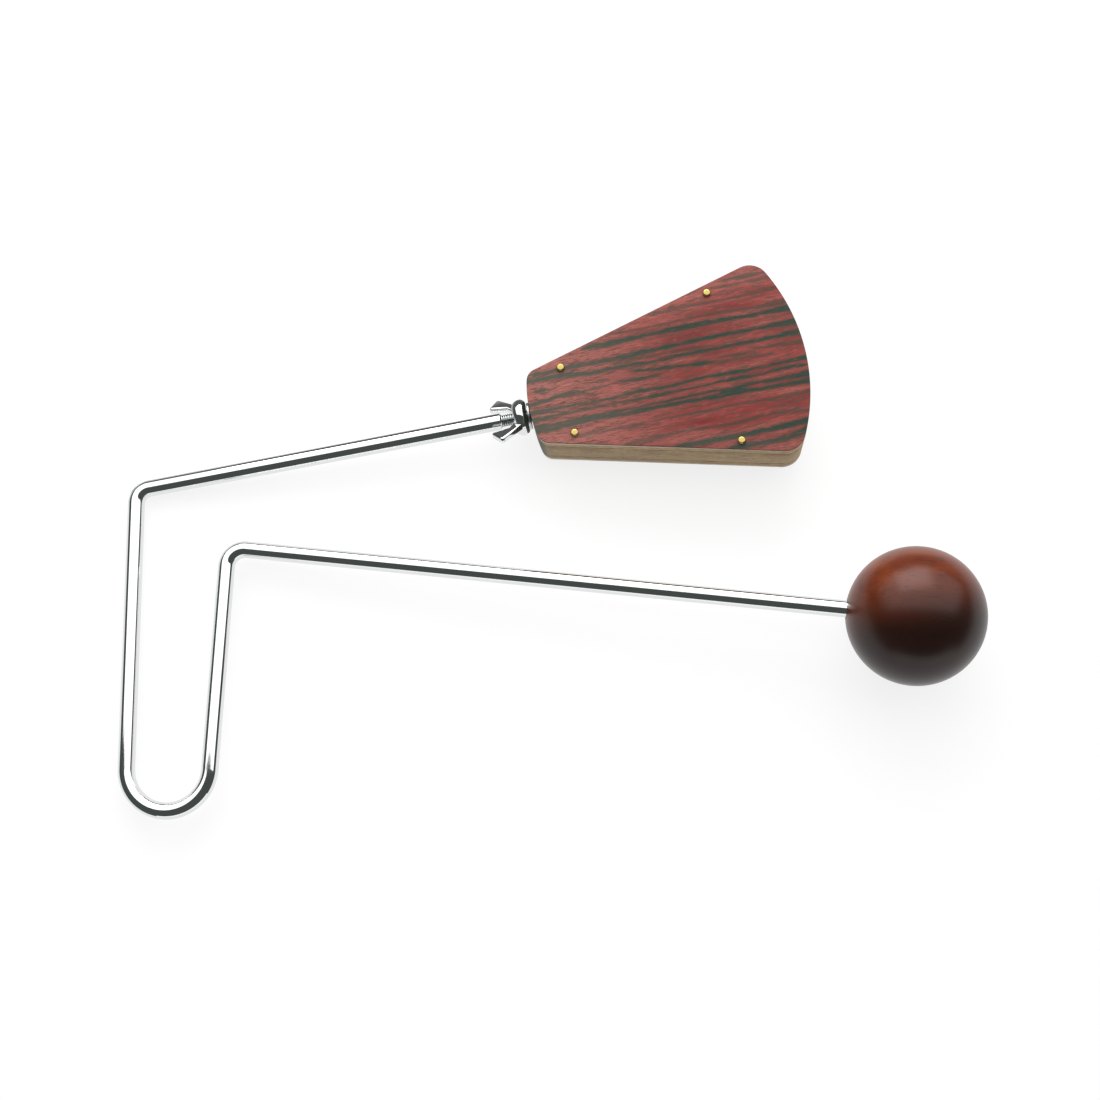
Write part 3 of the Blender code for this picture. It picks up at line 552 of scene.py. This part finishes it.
# Covers: 6 mm ply faced with a thin dark-cored laminate of dyed veneer, red with dark green
# stripes, paler where it is worn at the narrow end and the rims, under satin lacquer. They
# are sawn to the box's outline and pinned to the cheeks.
LAMINATE = 0.0006
COVER_EDGE = 0.00025
FIELD_START = -0.016
FIELD_LENGTH = 0.150
FIELD_WIDTH = 0.100
STRIPE_SINK = 0.001
STRIPE_TAPER = 0.03
STRONG_STRIPES = (
    # each stripe, in millimetres: along the box, across it, half the stripe's width
    ((28, 21.6, 0.7), (36, 21.4, 1.1), (48, 21.4, 0.9), (57, 21.5, 0.6), (66, 21.5, 1.1),
     (90, 20.8, 0.8), (104, 20.1, 0.7), (128, 20.1, 0.8)),
    ((2, 14.8, 0.5), (10, 14.4, 0.7), (20, 14.5, 0.9), (36, 14.0, 0.8), (50, 14.2, 1.1),
     (57, 14.2, 0.7), (63, 14.2, 1.0), (68, 14.2, 0.6), (75, 14.3, 0.8), (102, 13.7, 0.6),
     (128, 13.0, 0.6)),
    ((-8, 13.4, 0.8), (5, 12.0, 0.9), (16, 11.5, 1.0), (26, 10.1, 0.9), (40, 9.9, 0.6),
     (50, 9.3, 0.7), (54, 9.0, 0.4), (62, 9.1, 0.6), (90, 8.5, 0.6), (106, 8.3, 0.7),
     (128, 8.3, 0.6)),
    ((2.5, 6.9, 0.3), (5, 6.9, 1.0), (7.5, 6.7, 0.3)),
    ((46, 6.6, 0.3), (52, 5.8, 0.6), (61, 4.8, 0.6), (70, 4.0, 0.5), (76, 3.4, 0.9),
     (80, 3.0, 0.4)),
    ((-8, 0.8, 0.6), (4, 1.7, 0.7), (10, 2.5, 0.7), (19, 2.6, 0.8), (22, 1.9, 0.6)),
    ((40, 3.2, 0.3), (47, 2.5, 0.6), (56, 2.6, 0.2)),
    ((-8, -2.7, 0.3), (18, -2.8, 0.5), (29, -3.5, 0.4), (47, -2.9, 0.6), (60, -3.7, 0.6),
     (74, -3.1, 0.5), (91, -3.8, 0.8), (98, -4.0, 0.4), (110, -4.0, 0.6), (128, -3.8, 0.5)),
    ((-8, -6.2, 0.5), (11, -5.7, 0.5), (38, -6.1, 0.3), (54, -6.6, 0.7), (66, -6.6, 0.2),
     (74, -6.7, 0.4), (82, -6.5, 0.3), (89, -6.6, 0.8), (98, -7.1, 0.2), (109, -6.6, 0.6),
     (119, -7.0, 0.4)),
    ((-8, -9.4, 0.7), (10, -9.6, 0.7), (33, -9.8, 0.6), (42, -9.9, 0.3), (60, -10.0, 0.4),
     (82, -10.3, 0.5), (88, -10.8, 0.8), (96, -10.4, 0.5), (104, -10.9, 0.6), (128, -11.2, 0.6)),
    ((-2, -10.8, 0.7), (8, -11.3, 0.8), (26, -10.6, 1.0), (40, -11.8, 0.7), (44, -11.6, 1.1),
     (50, -11.7, 0.7), (66, -12.1, 0.8), (79, -12.6, 1.0), (85, -12.2, 1.6), (97, -13.5, 0.7),
     (110, -14.1, 0.8), (128, -14.9, 0.5)),
    ((56, -31.1, 0.5), (70, -31.6, 0.9), (92, -32.1, 1.0), (110, -32.0, 1.1), (118, -31.6, 0.9)),
    ((80, -36.8, 0.6), (92, -37.4, 0.9), (104, -37.4, 0.9), (110, -36.4, 1.3), (115, -35, 1.2)),
)
FAINT_STRIPES = (
    ((38, 11.9, 0.2), (62, 11.6, 0.2), (78, 10.6, 0.3)),
    ((24, 2.6, 0.3), (32, 2.6, 0.4)),
    ((30, 5.3, 0.4), (33, 5.3, 0.4)),
    ((15, -16.9, 0.3), (33, -17.3, 0.3), (40, -17.6, 0.5), (46, -17.3, 0.2), (60, -17.7, 0.5),
     (90, -18.2, 0.4), (97, -18.7, 0.5), (120, -19.3, 0.4)),
    ((36, -25.4, 0.5), (60, -25.0, 0.5), (88, -26.5, 0.6), (96, -25.6, 0.5), (116, -27.4, 0.4)),
    ((42, 25.3, 0.2), (48, 25.0, 0.3), (85, 24.6, 0.4), (98, 23.5, 0.4), (124, 23.9, 0.4)),
    ((60, 30.4, 0.2), (74, 30.6, 0.6), (92, 29.9, 0.4), (116, 30.4, 0.4)),
    ((86, 36.2, 0.2), (100, 35.7, 0.3), (116, 35.9, 0.6)),
    ((92, 38.6, 0.3), (111, 38.5, 0.3)),
    ((82, 2.2, 0.3), (90, 2.2, 0.4), (96, 1.9, 0.6), (106, 0.8, 0.3)),
    ((100, 5.0, 0.3), (106, 4.5, 0.5), (124, 3.0, 0.5)),
    ((84, 4.5, 0.2), (99, 3.2, 0.3)),
)


def stripe_depth(x, y, stripes):
    """How far a spot lies inside the nearest stripe, in metres; it is negative outside."""
    along = (x - FIELD_START)/FIELD_LENGTH
    across = (y + FIELD_WIDTH/2)/FIELD_WIDTH
    deepest = None
    for stripe in stripes:
        spots = [(a/1000 - FIELD_START)/FIELD_LENGTH for a, b, half in stripe]
        middle = [(spot, b/1000/FIELD_WIDTH + 0.5) for spot, (a, b, half) in zip(spots, stripe)]
        # a half width is kept with the sink added, so that a stripe's ends can be sunk away
        widths = [(spot, (half/1000 + STRIPE_SINK)/FIELD_WIDTH)
                  for spot, (a, b, half) in zip(spots, stripe)]
        widths = [(spots[0] - STRIPE_TAPER, 0.0), *widths, (spots[-1] + STRIPE_TAPER, 0.0)]
        centre = along.node("FloatCurve", {"points": middle}, {"Value": along})
        reach = along.node("FloatCurve", {"points": widths}, {"Value": along})
        depth = reach - abs(across - centre)
        deepest = depth if deepest is None else depth.larger(deepest)
    return deepest*FIELD_WIDTH - STRIPE_SINK


def veneer_finish(name, turned_over):
    """The cover's finish in the box's frame; the back one has the same veneer turned over."""
    finish = Finish(name, (0.26, 0.045, 0.04), 0.42, Specular_IOR_Level=0.15)
    flat = finish.seated(box_seat)
    x, y, height = flat.coordinate(0), flat.coordinate(1)*turned_over, abs(flat.coordinate(2))
    feather = flat.stretch(240, 2300, 1).noise(1.0, 3.0, 0.65) - 0.5
    dashes = flat.stretch(210, 2100, 1).noise(1.0, 3.0, 0.7)
    mottle = flat.stretch(60, 560, 1).noise(1.0, 3.0, 0.6)
    pores = flat.stretch(420, 4200, 1).noise(1.0, 2.0, 0.6)
    blush = flat.stretch(34, 210, 1).noise(1.0, 3.0, 0.6)
    strong = stripe_depth(x, y, STRONG_STRIPES) + feather*0.0028
    faint = stripe_depth(x, y, FAINT_STRIPES) + feather*0.0028
    dark = strong.step(-0.0007, 0.0003)
    dark = dark.larger(0.7*faint.step(-0.0007, 0.0003))
    halo = strong.step(-0.0028, 0.0002)
    red = blush.ramp((0.30, (0.190, 0.020, 0.020)), (0.46, (0.260, 0.037, 0.034)),
                     (0.60, (0.325, 0.064, 0.056)), (0.76, (0.395, 0.112, 0.092)))
    flecks = flat.stretch(230, 1500, 1).noise(1.0, 3.0, 0.6)
    red = red.tint(0.45*flecks.step(0.55, 0.70), (0.430, 0.150, 0.125, 1))
    worn = 0.78*(1 - x.step(0.0, 0.075))
    rim = abs(y)/(NARROW_HALF + x*math.tan(TAPER))
    worn = worn.larger(0.35*rim.step(0.62, 1.0))
    red = red.tint(worn, (0.470, 0.185, 0.155, 1))
    olive = dashes.step(0.46, 0.58)*(0.45 + 0.4*mottle.step(0.42, 0.60)) + 0.25*halo
    olive = olive + 0.3*mottle.step(0.48, 0.64)
    red = red.tint(olive.smaller(0.88), (0.100, 0.055, 0.040, 1))
    red = red.tint(0.5*pores.step(0.60, 0.72), (0.060, 0.034, 0.028, 1))
    core = strong.step(0.0001, 0.0006)
    green = dashes.ramp((0.34, (0.022, 0.036, 0.026)), (0.52, (0.036, 0.048, 0.032)),
                        (0.70, (0.075, 0.058, 0.040)))
    green = green.tint(0.8*core, (0.010, 0.052, 0.038, 1))
    green = green.tint(0.7*worn, (0.135, 0.125, 0.098, 1))
    gaps = flat.stretch(170, 1900, 1).noise(1.0, 3.0, 0.7).step(0.55, 0.66)
    face = red.tint(dark*(0.95 - 0.5*gaps), green)
    side_grain = flat.stretch(300, 300, 900).noise(1.0, 3.0)
    ply = side_grain.ramp((0.35, (0.360, 0.235, 0.108)), (0.65, (0.540, 0.385, 0.195)))
    # painted shade: the ply edges go dark greenish at the narrow end, like the frame's end
    ply = ply.tint(0.96*(1 - x.step(*END_SHADE_RUN)), END_PAINTED_SHADE)
    chips = flat.stretch(700, 700, 0).noise(1.0, 2.0)
    line = COVER_FACE - LAMINATE + (chips - 0.5)*0.0004
    pale = line - 0.0018 + x*0.010
    edge = ply.tint(0.9*(height - pale).step(-0.0003, 0.0003), (0.720, 0.600, 0.450, 1))
    edge = edge.tint((height - line).step(-0.0001, 0.0001), (0.040, 0.030, 0.026, 1))
    on_face = height.step(COVER_FACE - 0.00012, COVER_FACE - 0.00003)
    finish.set("Base Color", edge.tint(on_face, face))
    finish.set("Roughness", 0.42 + 0.16*pores + 0.08*dark)
    finish.relief(pores.step(0.5, 0.72) + dashes*0.5, 0.00004, 0.5)
    return finish


for side, name, node in ((1, "front_veneer_cover", "front_cover"),
                         (-1, "back_veneer_cover", "back_cover")):
    panel = bmesh.new()
    low = FRAME_DEPTH/2 + GAP if side > 0 else -COVER_FACE
    at = draw_wedge(panel, low)
    draw_round(panel, at, (WIDE_CENTRE, 0, low), (0, 0, 1), -wide_turn, 28)
    board(panel, COVER, COVER_EDGE)
    bits = [drill(PIN_HOLE, low - CHEEK, low + COVER + CHEEK, x, y, 20) for x, y in pin_places]
    panel = machine(panel, "DIFFERENCE", *bits)
    veneer = veneer_finish(name, side)
    add_piece(name, panel, box_seat, veneer, "box", [node])


# Pins: small round-headed brass pins, pressed through the covers into the cheeks, four to
# each cover. Their heads were buffed flat and bright with the lacquer round them.
PIN_HEAD = 0.0035
PIN_HEAD_HEIGHT = 0.001
PIN_HEAD_ROUND = 0.0007
PIN_SIDE = GAP + PIN_HEAD_HEIGHT - PIN_HEAD_ROUND
PIN_SIDES = 40

brass = Finish("polished_brass", (0.52, 0.40, 0.13), 0.24, 1.0)
for face, cover in ((1, "front"), (-1, "back")):
    for i, (x, y) in enumerate(pin_places, 1):
        pin = bmesh.new()
        corner = pin.verts.new((0, 0, GAP - PIN_LENGTH))
        corner = draw_to(pin, corner, (PIN_SHANK/4, 0, GAP - PIN_LENGTH),
                         (PIN_SHANK/2, 0, 2*GAP - PIN_LENGTH + PIN_SHANK/2),
                         (PIN_SHANK/2, 0, GAP), (PIN_HEAD/2, 0, GAP), (PIN_HEAD/2, 0, PIN_SIDE))
        corner = draw_round(pin, corner, (PIN_HEAD/2 - PIN_HEAD_ROUND, 0, PIN_SIDE), (0, -1, 0),
                            math.pi/2, 6)
        draw_to(pin, corner, (0, 0, GAP + PIN_HEAD_HEIGHT))
        turn_up(pin, PIN_SIDES, (0, 0, 1))
        seat = box_seat @ Matrix.Translation((x, y, face*COVER_FACE))
        if face < 0:
            seat = seat @ Matrix.Rotation(math.pi, 4, "X")
        add_piece(f"brass_{cover}_pin_{i}", pin, seat, brass, "box", [f"{cover}_pin_{i}"])
on_brass = brass.seated(box_seat)
rubs = on_brass.noise(2600.0, 2.0)
brass.set("Roughness", 0.16 + 0.16*rubs)
brass.relief(rubs, 0.00001, 0.4)


# Rattle plate: sheet steel bent up at one end into a flange that the inner nut clamps to the
# end block, joggled to the middle of the box and flared into a tongue drilled for the rivets.
PLATE_BEND = 0.0016
FLANGE_WIDTH = 0.022
FLANGE_RISE = 0.0072
FLANGE_DROP = 0.0068
JOGGLE_START = 0.0125
JOGGLE_RUN = 0.0085
TONGUE_WIDTH = 0.027
TONGUE_FLARE = math.radians(11.5)
TONGUE_REACH = 0.0725
TONGUE_CORNER = 0.004
RIVET_HOLE = 0.0042
RIVET_ROWS = ((0.11, 0.465, 2), (0.33, 0.53, 2), (0.555, 0.65, 3), (0.775, 0.69, 3))
FLARE_START = END_BLOCK + JOGGLE_START + JOGGLE_RUN


def tongue_at(x):
    """Half the tongue's width at a station past the ramp."""
    return TONGUE_WIDTH/2 + (x - FLARE_START)*math.tan(TONGUE_FLARE)


rivet_places = []
for along, across, count in RIVET_ROWS:
    x = FLARE_START + along*(END_BLOCK + TONGUE_REACH - FLARE_START)
    rivet_places += [(x, across*tongue_at(x)*(2*i/(count - 1) - 1)) for i in range(count)]

plate = bmesh.new()
flange_x = END_BLOCK + GAP + PLATE/2
bends = [(flange_x, -FLANGE_DROP), (END_BLOCK + JOGGLE_START, -FLANGE_DROP), (FLARE_START, 0),
         (END_BLOCK + TONGUE_REACH, 0)]
at = plate.verts.new((flange_x, 0, FLANGE_RISE))
came = Vector((flange_x, FLANGE_RISE))
for here, after in zip(bends, bends[1:]):
    here = Vector(here)
    back = (came - here).normalized()
    on = (Vector(after) - here).normalized()
    half = back.angle(on)/2
    centre = here + (back + on).normalized()*(PLATE_BEND/math.sin(half))
    first = here + back*(PLATE_BEND/math.tan(half))
    way = 1 if back.x*on.y - back.y*on.x > 0 else -1
    at = draw_to(plate, at, (first.x, 0, first.y))
    at = draw_round(plate, at, (centre.x, 0, centre.y), (0, way, 0), math.pi - 2*half, 8)
    came = here
draw_to(plate, at, (END_BLOCK + TONGUE_REACH, 0, 0))
bmesh.ops.translate(plate, vec=(0, -FLANGE_WIDTH/2, 0), verts=plate.verts)
draw_out(plate, plate.edges[:], (0, FLANGE_WIDTH, 0))
ramp = END_BLOCK + JOGGLE_START
for vert in plate.verts:
    half = FLANGE_WIDTH/2
    if vert.co.x > FLARE_START:
        half = tongue_at(vert.co.x)
    elif vert.co.x > ramp:
        half += (TONGUE_WIDTH - FLANGE_WIDTH)/2*(vert.co.x - ramp)/JOGGLE_RUN
    vert.co.y = math.copysign(half, vert.co.y)
corners = [v for v in plate.verts if len(v.link_edges) == 2]
bmesh.ops.bevel(plate, geom=corners, offset=TONGUE_CORNER, offset_type="OFFSET", segments=8,
                profile=0.5, affect="VERTICES", material=-1)
bmesh.ops.recalc_face_normals(plate, faces=plate.faces)
sheet = bpy.data.meshes.new("sheet")
plate.to_mesh(sheet)
plate.free()
blank = bpy.data.objects.new("sheet", sheet)
bpy.context.scene.collection.objects.link(blank)
wall = blank.modifiers.new("wall", "SOLIDIFY")
wall.thickness = PLATE
wall.offset = 0
wall.use_even_offset = True
bpy.context.view_layer.update()
plate = bmesh.new()
plate.from_mesh(blank.evaluated_get(bpy.context.evaluated_depsgraph_get()).to_mesh())
bpy.data.objects.remove(blank)
bpy.data.meshes.remove(sheet)
bits = [bolt_drill(END_BLOCK - CHEEK/4, END_BLOCK + CHEEK/4)]
bits += [drill(RIVET_HOLE/2, -PLATE*2, PLATE*2, x, y, 32) for x, y in rivet_places]
plate = machine(plate, "DIFFERENCE", *bits)

rolled = Finish("rolled_sheet_steel", (0.50, 0.51, 0.52), 0.34, 1.0)
on_sheet = rolled.seated(box_seat)
mill = on_sheet.stretch(45, 1400, 1400).noise(1.0, 3.0)
haze = on_sheet.noise(160.0, 3.0)
rolled.set("Base Color", haze.ramp((0.3, (0.40, 0.41, 0.42)), (0.7, (0.56, 0.57, 0.58))))
rolled.set("Roughness", 0.26 + 0.16*mill + 0.10*haze)
rolled.relief(mill, 0.00003, 0.5)
add_piece("rattle_tongue", plate, box_seat, rolled, "box", ["rattle_plate"])


# Loose rivets: cold-headed plain steel, dropped through the tongue's holes and closed from
# below, so that each hangs by its domed head and jumps and chatters in its hole.
RIVET_SHANK = 0.003
RIVET_HEAD = 0.0068
RIVET_HEAD_HEIGHT = 0.0017
RIVET_TAIL = 0.0055
RIVET_TAIL_HEIGHT = 0.0013
RIVET_TAIL_RIM = 0.0005
RIVET_TAIL_FLAT = 0.004
RIVET_TRAVEL = 0.0050
RIVET_SIDES = 36

headed = Finish("cold_headed_steel", (0.58, 0.58, 0.58), 0.28, 1.0)
on_rivets = headed.seated(box_seat)
pits = on_rivets.noise(900.0, 3.0)
headed.set("Base Color", pits.ramp((0.3, (0.42, 0.42, 0.42)), (0.7, (0.64, 0.64, 0.63))))
headed.set("Roughness", 0.20 + 0.20*pits)
headed.relief(pits, 0.00003, 0.4)
top = PLATE/2 + GAP
tail = top - (GAP + PLATE + RIVET_TRAVEL + GAP)
for i, (x, y) in enumerate(rivet_places, 1):
    rivet = bmesh.new()
    corner = rivet.verts.new((0, 0, tail - RIVET_TAIL_HEIGHT))
    corner = draw_to(rivet, corner, (RIVET_TAIL_FLAT/2, 0, tail - RIVET_TAIL_HEIGHT),
                     (RIVET_TAIL/2, 0, tail - RIVET_TAIL_RIM), (RIVET_TAIL/2, 0, tail),
                     (RIVET_SHANK/2, 0, tail), (RIVET_SHANK/2, 0, top), (RIVET_HEAD/2, 0, top))
    dome = RIVET_HEAD_HEIGHT/(RIVET_HEAD/2)
    rise = len(rivet.verts) - 1
    draw_round(rivet, corner, (0, 0, top), (0, -1, 0), math.pi/2, 10)
    for vert in list(rivet.verts)[rise:]:
        vert.co.z = top + (vert.co.z - top)*dome
    turn_up(rivet, RIVET_SIDES, (0, 0, 1))
    add_piece(f"loose_rivet_{i:02d}", rivet, box_seat @ Matrix.Translation((x, y, 0)), headed,
              f"rivet_{i:02d}", [f"rivet_{i:02d}"])


# Washers and inner nut: stock zinc-plated M6 hardware. One washer lies under the wing nut,
# and a smaller one and the hexagon nut clamp the rattle plate's flange inside the box.
WASHER = 0.012
WASHER_EDGE = 0.0002
NUT_ACROSS_FLATS = 0.010
RING_SIDES = 72

zinc = Finish("zinc_plating", (0.62, 0.63, 0.64), 0.30, 1.0)
on_zinc = zinc.seated(bolt)
spangle = on_zinc.noise(700.0, 3.0)
zinc.set("Base Color", spangle.ramp((0.3, (0.52, 0.54, 0.56)), (0.7, (0.68, 0.68, 0.66))))
zinc.set("Roughness", 0.22 + 0.18*spangle)
zinc.relief(spangle, 0.00002, 0.4)


def flat_ring(diameter, thickness):
    """A stamped washer from 0 to its thickness along X, its outer edges eased."""
    ring = bmesh.new()
    start = ring.verts.new((0, 0, THREAD_BORE))
    at = draw_to(ring, start, (0, 0, diameter/2 - WASHER_EDGE))
    at = draw_round(ring, at, (WASHER_EDGE, 0, diameter/2 - WASHER_EDGE), (0, 1, 0), math.pi/2, 4)
    at = draw_to(ring, at, (thickness - WASHER_EDGE, 0, diameter/2))
    at = draw_round(ring, at, (thickness - WASHER_EDGE, 0, diameter/2 - WASHER_EDGE), (0, 1, 0),
                    math.pi/2, 4)
    at = draw_to(ring, at, (thickness, 0, THREAD_BORE))
    ring.edges.new((at, start))
    turn_up(ring, RING_SIDES)
    return ring


add_piece("outer_washer", flat_ring(WASHER, WASHER_THICKNESS),
          bolt @ Matrix.Translation((WASHER_SEAT - WASHER_THICKNESS, 0, 0)), zinc, "washer",
          ["washer"])
add_piece("clamp_washer", flat_ring(INNER_WASHER, INNER_WASHER_THICKNESS),
          bolt @ Matrix.Translation((PLATE_FACE + GAP, 0, 0)), zinc, "rod", ["inner_washer"])

nut_corner = NUT_ACROSS_FLATS/2/math.cos(math.pi/6)
hexagon = bmesh.new()
bmesh.ops.create_cone(hexagon, cap_ends=True, segments=6, radius1=nut_corner, radius2=nut_corner,
                      depth=NUT_HEIGHT)
bmesh.ops.rotate(hexagon, cent=(0, 0, 0), matrix=Matrix.Rotation(math.pi/2, 3, "Y"),
                 verts=hexagon.verts)
bmesh.ops.translate(hexagon, vec=(NUT_HEIGHT/2, 0, 0), verts=hexagon.verts)
turned = bmesh.new()
chamfer = (nut_corner - NUT_ACROSS_FLATS/2)*math.tan(math.radians(30))
start = turned.verts.new((0, 0, THREAD_BORE))
at = draw_to(turned, start, (0, 0, NUT_ACROSS_FLATS/2), (chamfer, 0, nut_corner),
             (NUT_HEIGHT - chamfer, 0, nut_corner), (NUT_HEIGHT, 0, NUT_ACROSS_FLATS/2),
             (NUT_HEIGHT, 0, THREAD_BORE))
turned.edges.new((at, start))
turn_up(turned, RING_SIDES)
hexagon = machine(hexagon, "INTERSECT", turned)
add_piece("clamp_nut", hexagon, bolt @ Matrix.Translation((INNER_NUT_SEAT, 0, 0)), zinc, "rod",
          ["inner_nut"], sharp=20)


# Wing nut: a chromed forging, a domed round hub with two square-cornered wings that lean out
# past its top, run down the thread by hand against the washer.
WING_HUB = 0.0163
WING_HUB_FOOT = 0.0128
WING_HUB_GIRTH = 0.0026
WING_HUB_ROUND = 0.0028
WING_SPAN = 0.0344
WING_HEIGHT = 0.0172
WING_SLANT = 0.0046
WING_FOOT = 0.0024
WING_ROOT = 0.0088
WING_THROAT = 0.0168
WING_SPREAD = 0.0018
WING_CORNER = 0.0016
WING_THICKNESS = 0.0030
WING_EDGE = 0.0009
WING_TURN = math.radians(42)
HUB_SIDES = 96

hub_rim = WING_HUB/2 - WING_HUB_ROUND
flare = WING_HUB/2 - WING_HUB_FOOT/2
foot_arc = (WING_HUB_GIRTH**2 + flare**2)/(2*flare)
over = WING_HUB_HEIGHT - WING_HUB_GIRTH
dome_arc = (over**2 + WING_HUB_ROUND**2)/(2*WING_HUB_ROUND)
hub = bmesh.new()
start = hub.verts.new((0, 0, THREAD_BORE))
at = draw_to(hub, start, (0, 0, WING_HUB_FOOT/2))
at = draw_round(hub, at, (WING_HUB_GIRTH, 0, WING_HUB/2 - foot_arc), (0, 1, 0),
                math.asin(WING_HUB_GIRTH/foot_arc), 14)
at = draw_round(hub, at, (WING_HUB_GIRTH, 0, WING_HUB/2 - dome_arc), (0, 1, 0),
                math.asin(over/dome_arc), 18)
at = draw_to(hub, at, (WING_HUB_HEIGHT, 0, THREAD_BORE))
hub.edges.new((at, start))
turn_up(hub, HUB_SIDES)

wings = []
within = (THREAD_BORE + hub_rim)/2
for side in (1, -1):
    wing = bmesh.new()
    rim = [wing.verts.new((x, side*y, -WING_THICKNESS/2)) for x, y in (
        (WING_FOOT, within), (WING_FOOT, WING_HUB/2 - WING_EDGE/2),
        (WING_HEIGHT - WING_SLANT, WING_SPAN/2),
        (WING_HEIGHT, WING_THROAT/2 + WING_SPREAD), (WING_ROOT, WING_THROAT/2),
        (WING_HUB_HEIGHT, hub_rim),
        (WING_HUB_HEIGHT - WING_HUB_ROUND, within))]
    wing.faces.new(rim)
    bmesh.ops.bevel(wing, geom=rim[2:4], offset=WING_CORNER, offset_type="OFFSET", segments=8,
                    profile=0.5, affect="VERTICES", material=-1)
    made = bmesh.ops.extrude_face_region(wing, geom=wing.faces[:])["geom"]
    bmesh.ops.translate(wing, vec=(0, 0, WING_THICKNESS),
                        verts=[v for v in made if isinstance(v, bmesh.types.BMVert)])
    bmesh.ops.recalc_face_normals(wing, faces=wing.faces)
    rims = [e for e in wing.edges if abs(e.verts[0].co.z - e.verts[1].co.z) < GAP]
    bmesh.ops.bevel(wing, geom=rims, offset=WING_EDGE, offset_type="OFFSET", segments=5,
                    profile=0.5, affect="EDGES", material=-1, clamp_overlap=True)
    bmesh.ops.rotate(wing, cent=(0, 0, 0), matrix=Matrix.Rotation(WING_TURN, 3, "X"),
                     verts=wing.verts)
    wings.append(wing)
wing_nut = machine(hub, "UNION", *wings)
add_piece("chromed_wing_nut", wing_nut,
          bolt @ Matrix.Translation((NUT_SEAT, 0, 0)) @ Matrix.Rotation(math.pi, 4, "Z"), chrome,
          "wing_nut", ["wing_nut"], sharp=40)


# Table: a white sweep that the object lies on. It shows as plain white and keeps a faint
# shadow under the rod, the box and the ball. In the chrome its far side is dark, as the unlit
# room behind the real table was.
SWEEP_REACH = 6.0
GLOW = 0.76
MIRRORED_GLOW = 0.94
FAR_SIDE = 0.035

table = bmesh.new()
bmesh.ops.create_grid(table, x_segments=1, y_segments=1, size=SWEEP_REACH)
table_mesh = bpy.data.meshes.new("white_sweep")
table.to_mesh(table_mesh)
table.free()
sweep = bpy.data.objects.new("white_sweep", table_mesh)
bpy.context.scene.collection.objects.link(sweep)
paper = Finish("white_paper", (0.90, 0.90, 0.90), 0.9)
rays = Shade(paper.tree)
seen = [rays.node("LightPath", None, None, i) for i in (0, 3, 6)]
looked_at = seen[0].larger(seen[1].larger(seen[2]))
on_table = paper.seated(bolt)
far_side = on_table.coordinate(1).step(0.0, FAR_SIDE)
in_chrome = rays.node("Mix", {"data_type": "RGBA"}, {0: far_side, 6: (0.93, 0.93, 0.93, 1),
                                                     7: (0.05, 0.05, 0.05, 1)}, 2)
glow = rays.node("Emission", None, {"Color": in_chrome.tint(seen[0], (1, 1, 1, 1)),
                                    "Strength": 1.07})
paper_surface = Shade(paper.tree, paper.surface.outputs[0])
share = looked_at*(MIRRORED_GLOW - (MIRRORED_GLOW - GLOW)*seen[0])
shown = rays.node("MixShader", None, {0: share, 1: paper_surface, 2: glow})
paper.tree.links.new(shown.socket, paper.tree.nodes["Material Output"].inputs["Surface"])
sweep.data.materials.append(paper.material)


# Light: one broad soft box over the far side of the table with a brighter lamp in it, a low
# pale reflector on the near side, and a dim greenish room, which the chrome shows between them.
LAMP_REACH = 1.6


def soft_box(name, turn, lean, width, height, radiance):
    """A soft box that faces the object: leaning towards +Y, then turned about Z."""
    lamp = bpy.data.lights.new(name, "AREA")
    lamp.shape = "RECTANGLE"
    lamp.size = width
    lamp.size_y = height
    lamp.energy = radiance*math.pi*width*height
    box = bpy.data.objects.new(name, lamp)
    bpy.context.scene.collection.objects.link(box)
    box.matrix_world = Matrix.Rotation(math.radians(turn), 4, "Z") @ Matrix.Rotation(
        -math.radians(lean), 4, "X") @ Matrix.Translation((0, 0, LAMP_REACH))


soft_box("key_soft_box", -4, 40, 5.6, 2.4, 1.5)
soft_box("lamp_in_the_box", 4, 57, 1.4, 1.1, 2.9)
soft_box("low_reflector", 10, -84, 2.6, 0.4, 1.1)
world = bpy.data.worlds.new("studio")
world.use_nodes = True
bpy.context.scene.world = world
room = Shade(world.node_tree)
camera_ray, glossy_ray = (room.node("LightPath", None, None, i) for i in (0, 3))
dim = room.node("Mix", {"data_type": "RGBA"}, {0: glossy_ray, 6: (0.18, 0.18, 0.18, 1),
                                               7: (0.069, 0.080, 0.073, 1)}, 2)
world.node_tree.links.new(dim.tint(camera_ray, (1, 1, 1, 1)).socket,
                          world.node_tree.nodes["Background"].inputs["Color"])
bpy.context.scene.view_settings.view_transform = "Standard"


# Camera: close overhead, looking a little up the table, as the photograph was taken. It is
# set by the bolt's turn and place as the camera sees them.
SENSOR = 36.0
FOCAL_LENGTH = 57.01
BOLT_TURN = (math.radians(-11.981), math.radians(4.015), math.radians(-10.045))
BOLT_PLACE = Vector((-0.006052, -0.060280, 0.776654))
flip = Matrix.Diagonal((1, -1, -1))
tilt, yaw, roll = (Matrix.Rotation(angle, 3, axis) for angle, axis in zip(BOLT_TURN, "XYZ"))
to_camera = (flip @ tilt @ yaw @ roll @ flip).to_4x4()
to_camera.translation = flip @ BOLT_PLACE
lens = bpy.data.cameras.new("camera")
lens.sensor_width = SENSOR
lens.lens = FOCAL_LENGTH
lens.clip_start = 0.01
camera = bpy.data.objects.new("camera", lens)
bpy.context.scene.collection.objects.link(camera)
camera.matrix_world = bolt @ to_camera.inverted()
bpy.context.scene.camera = camera
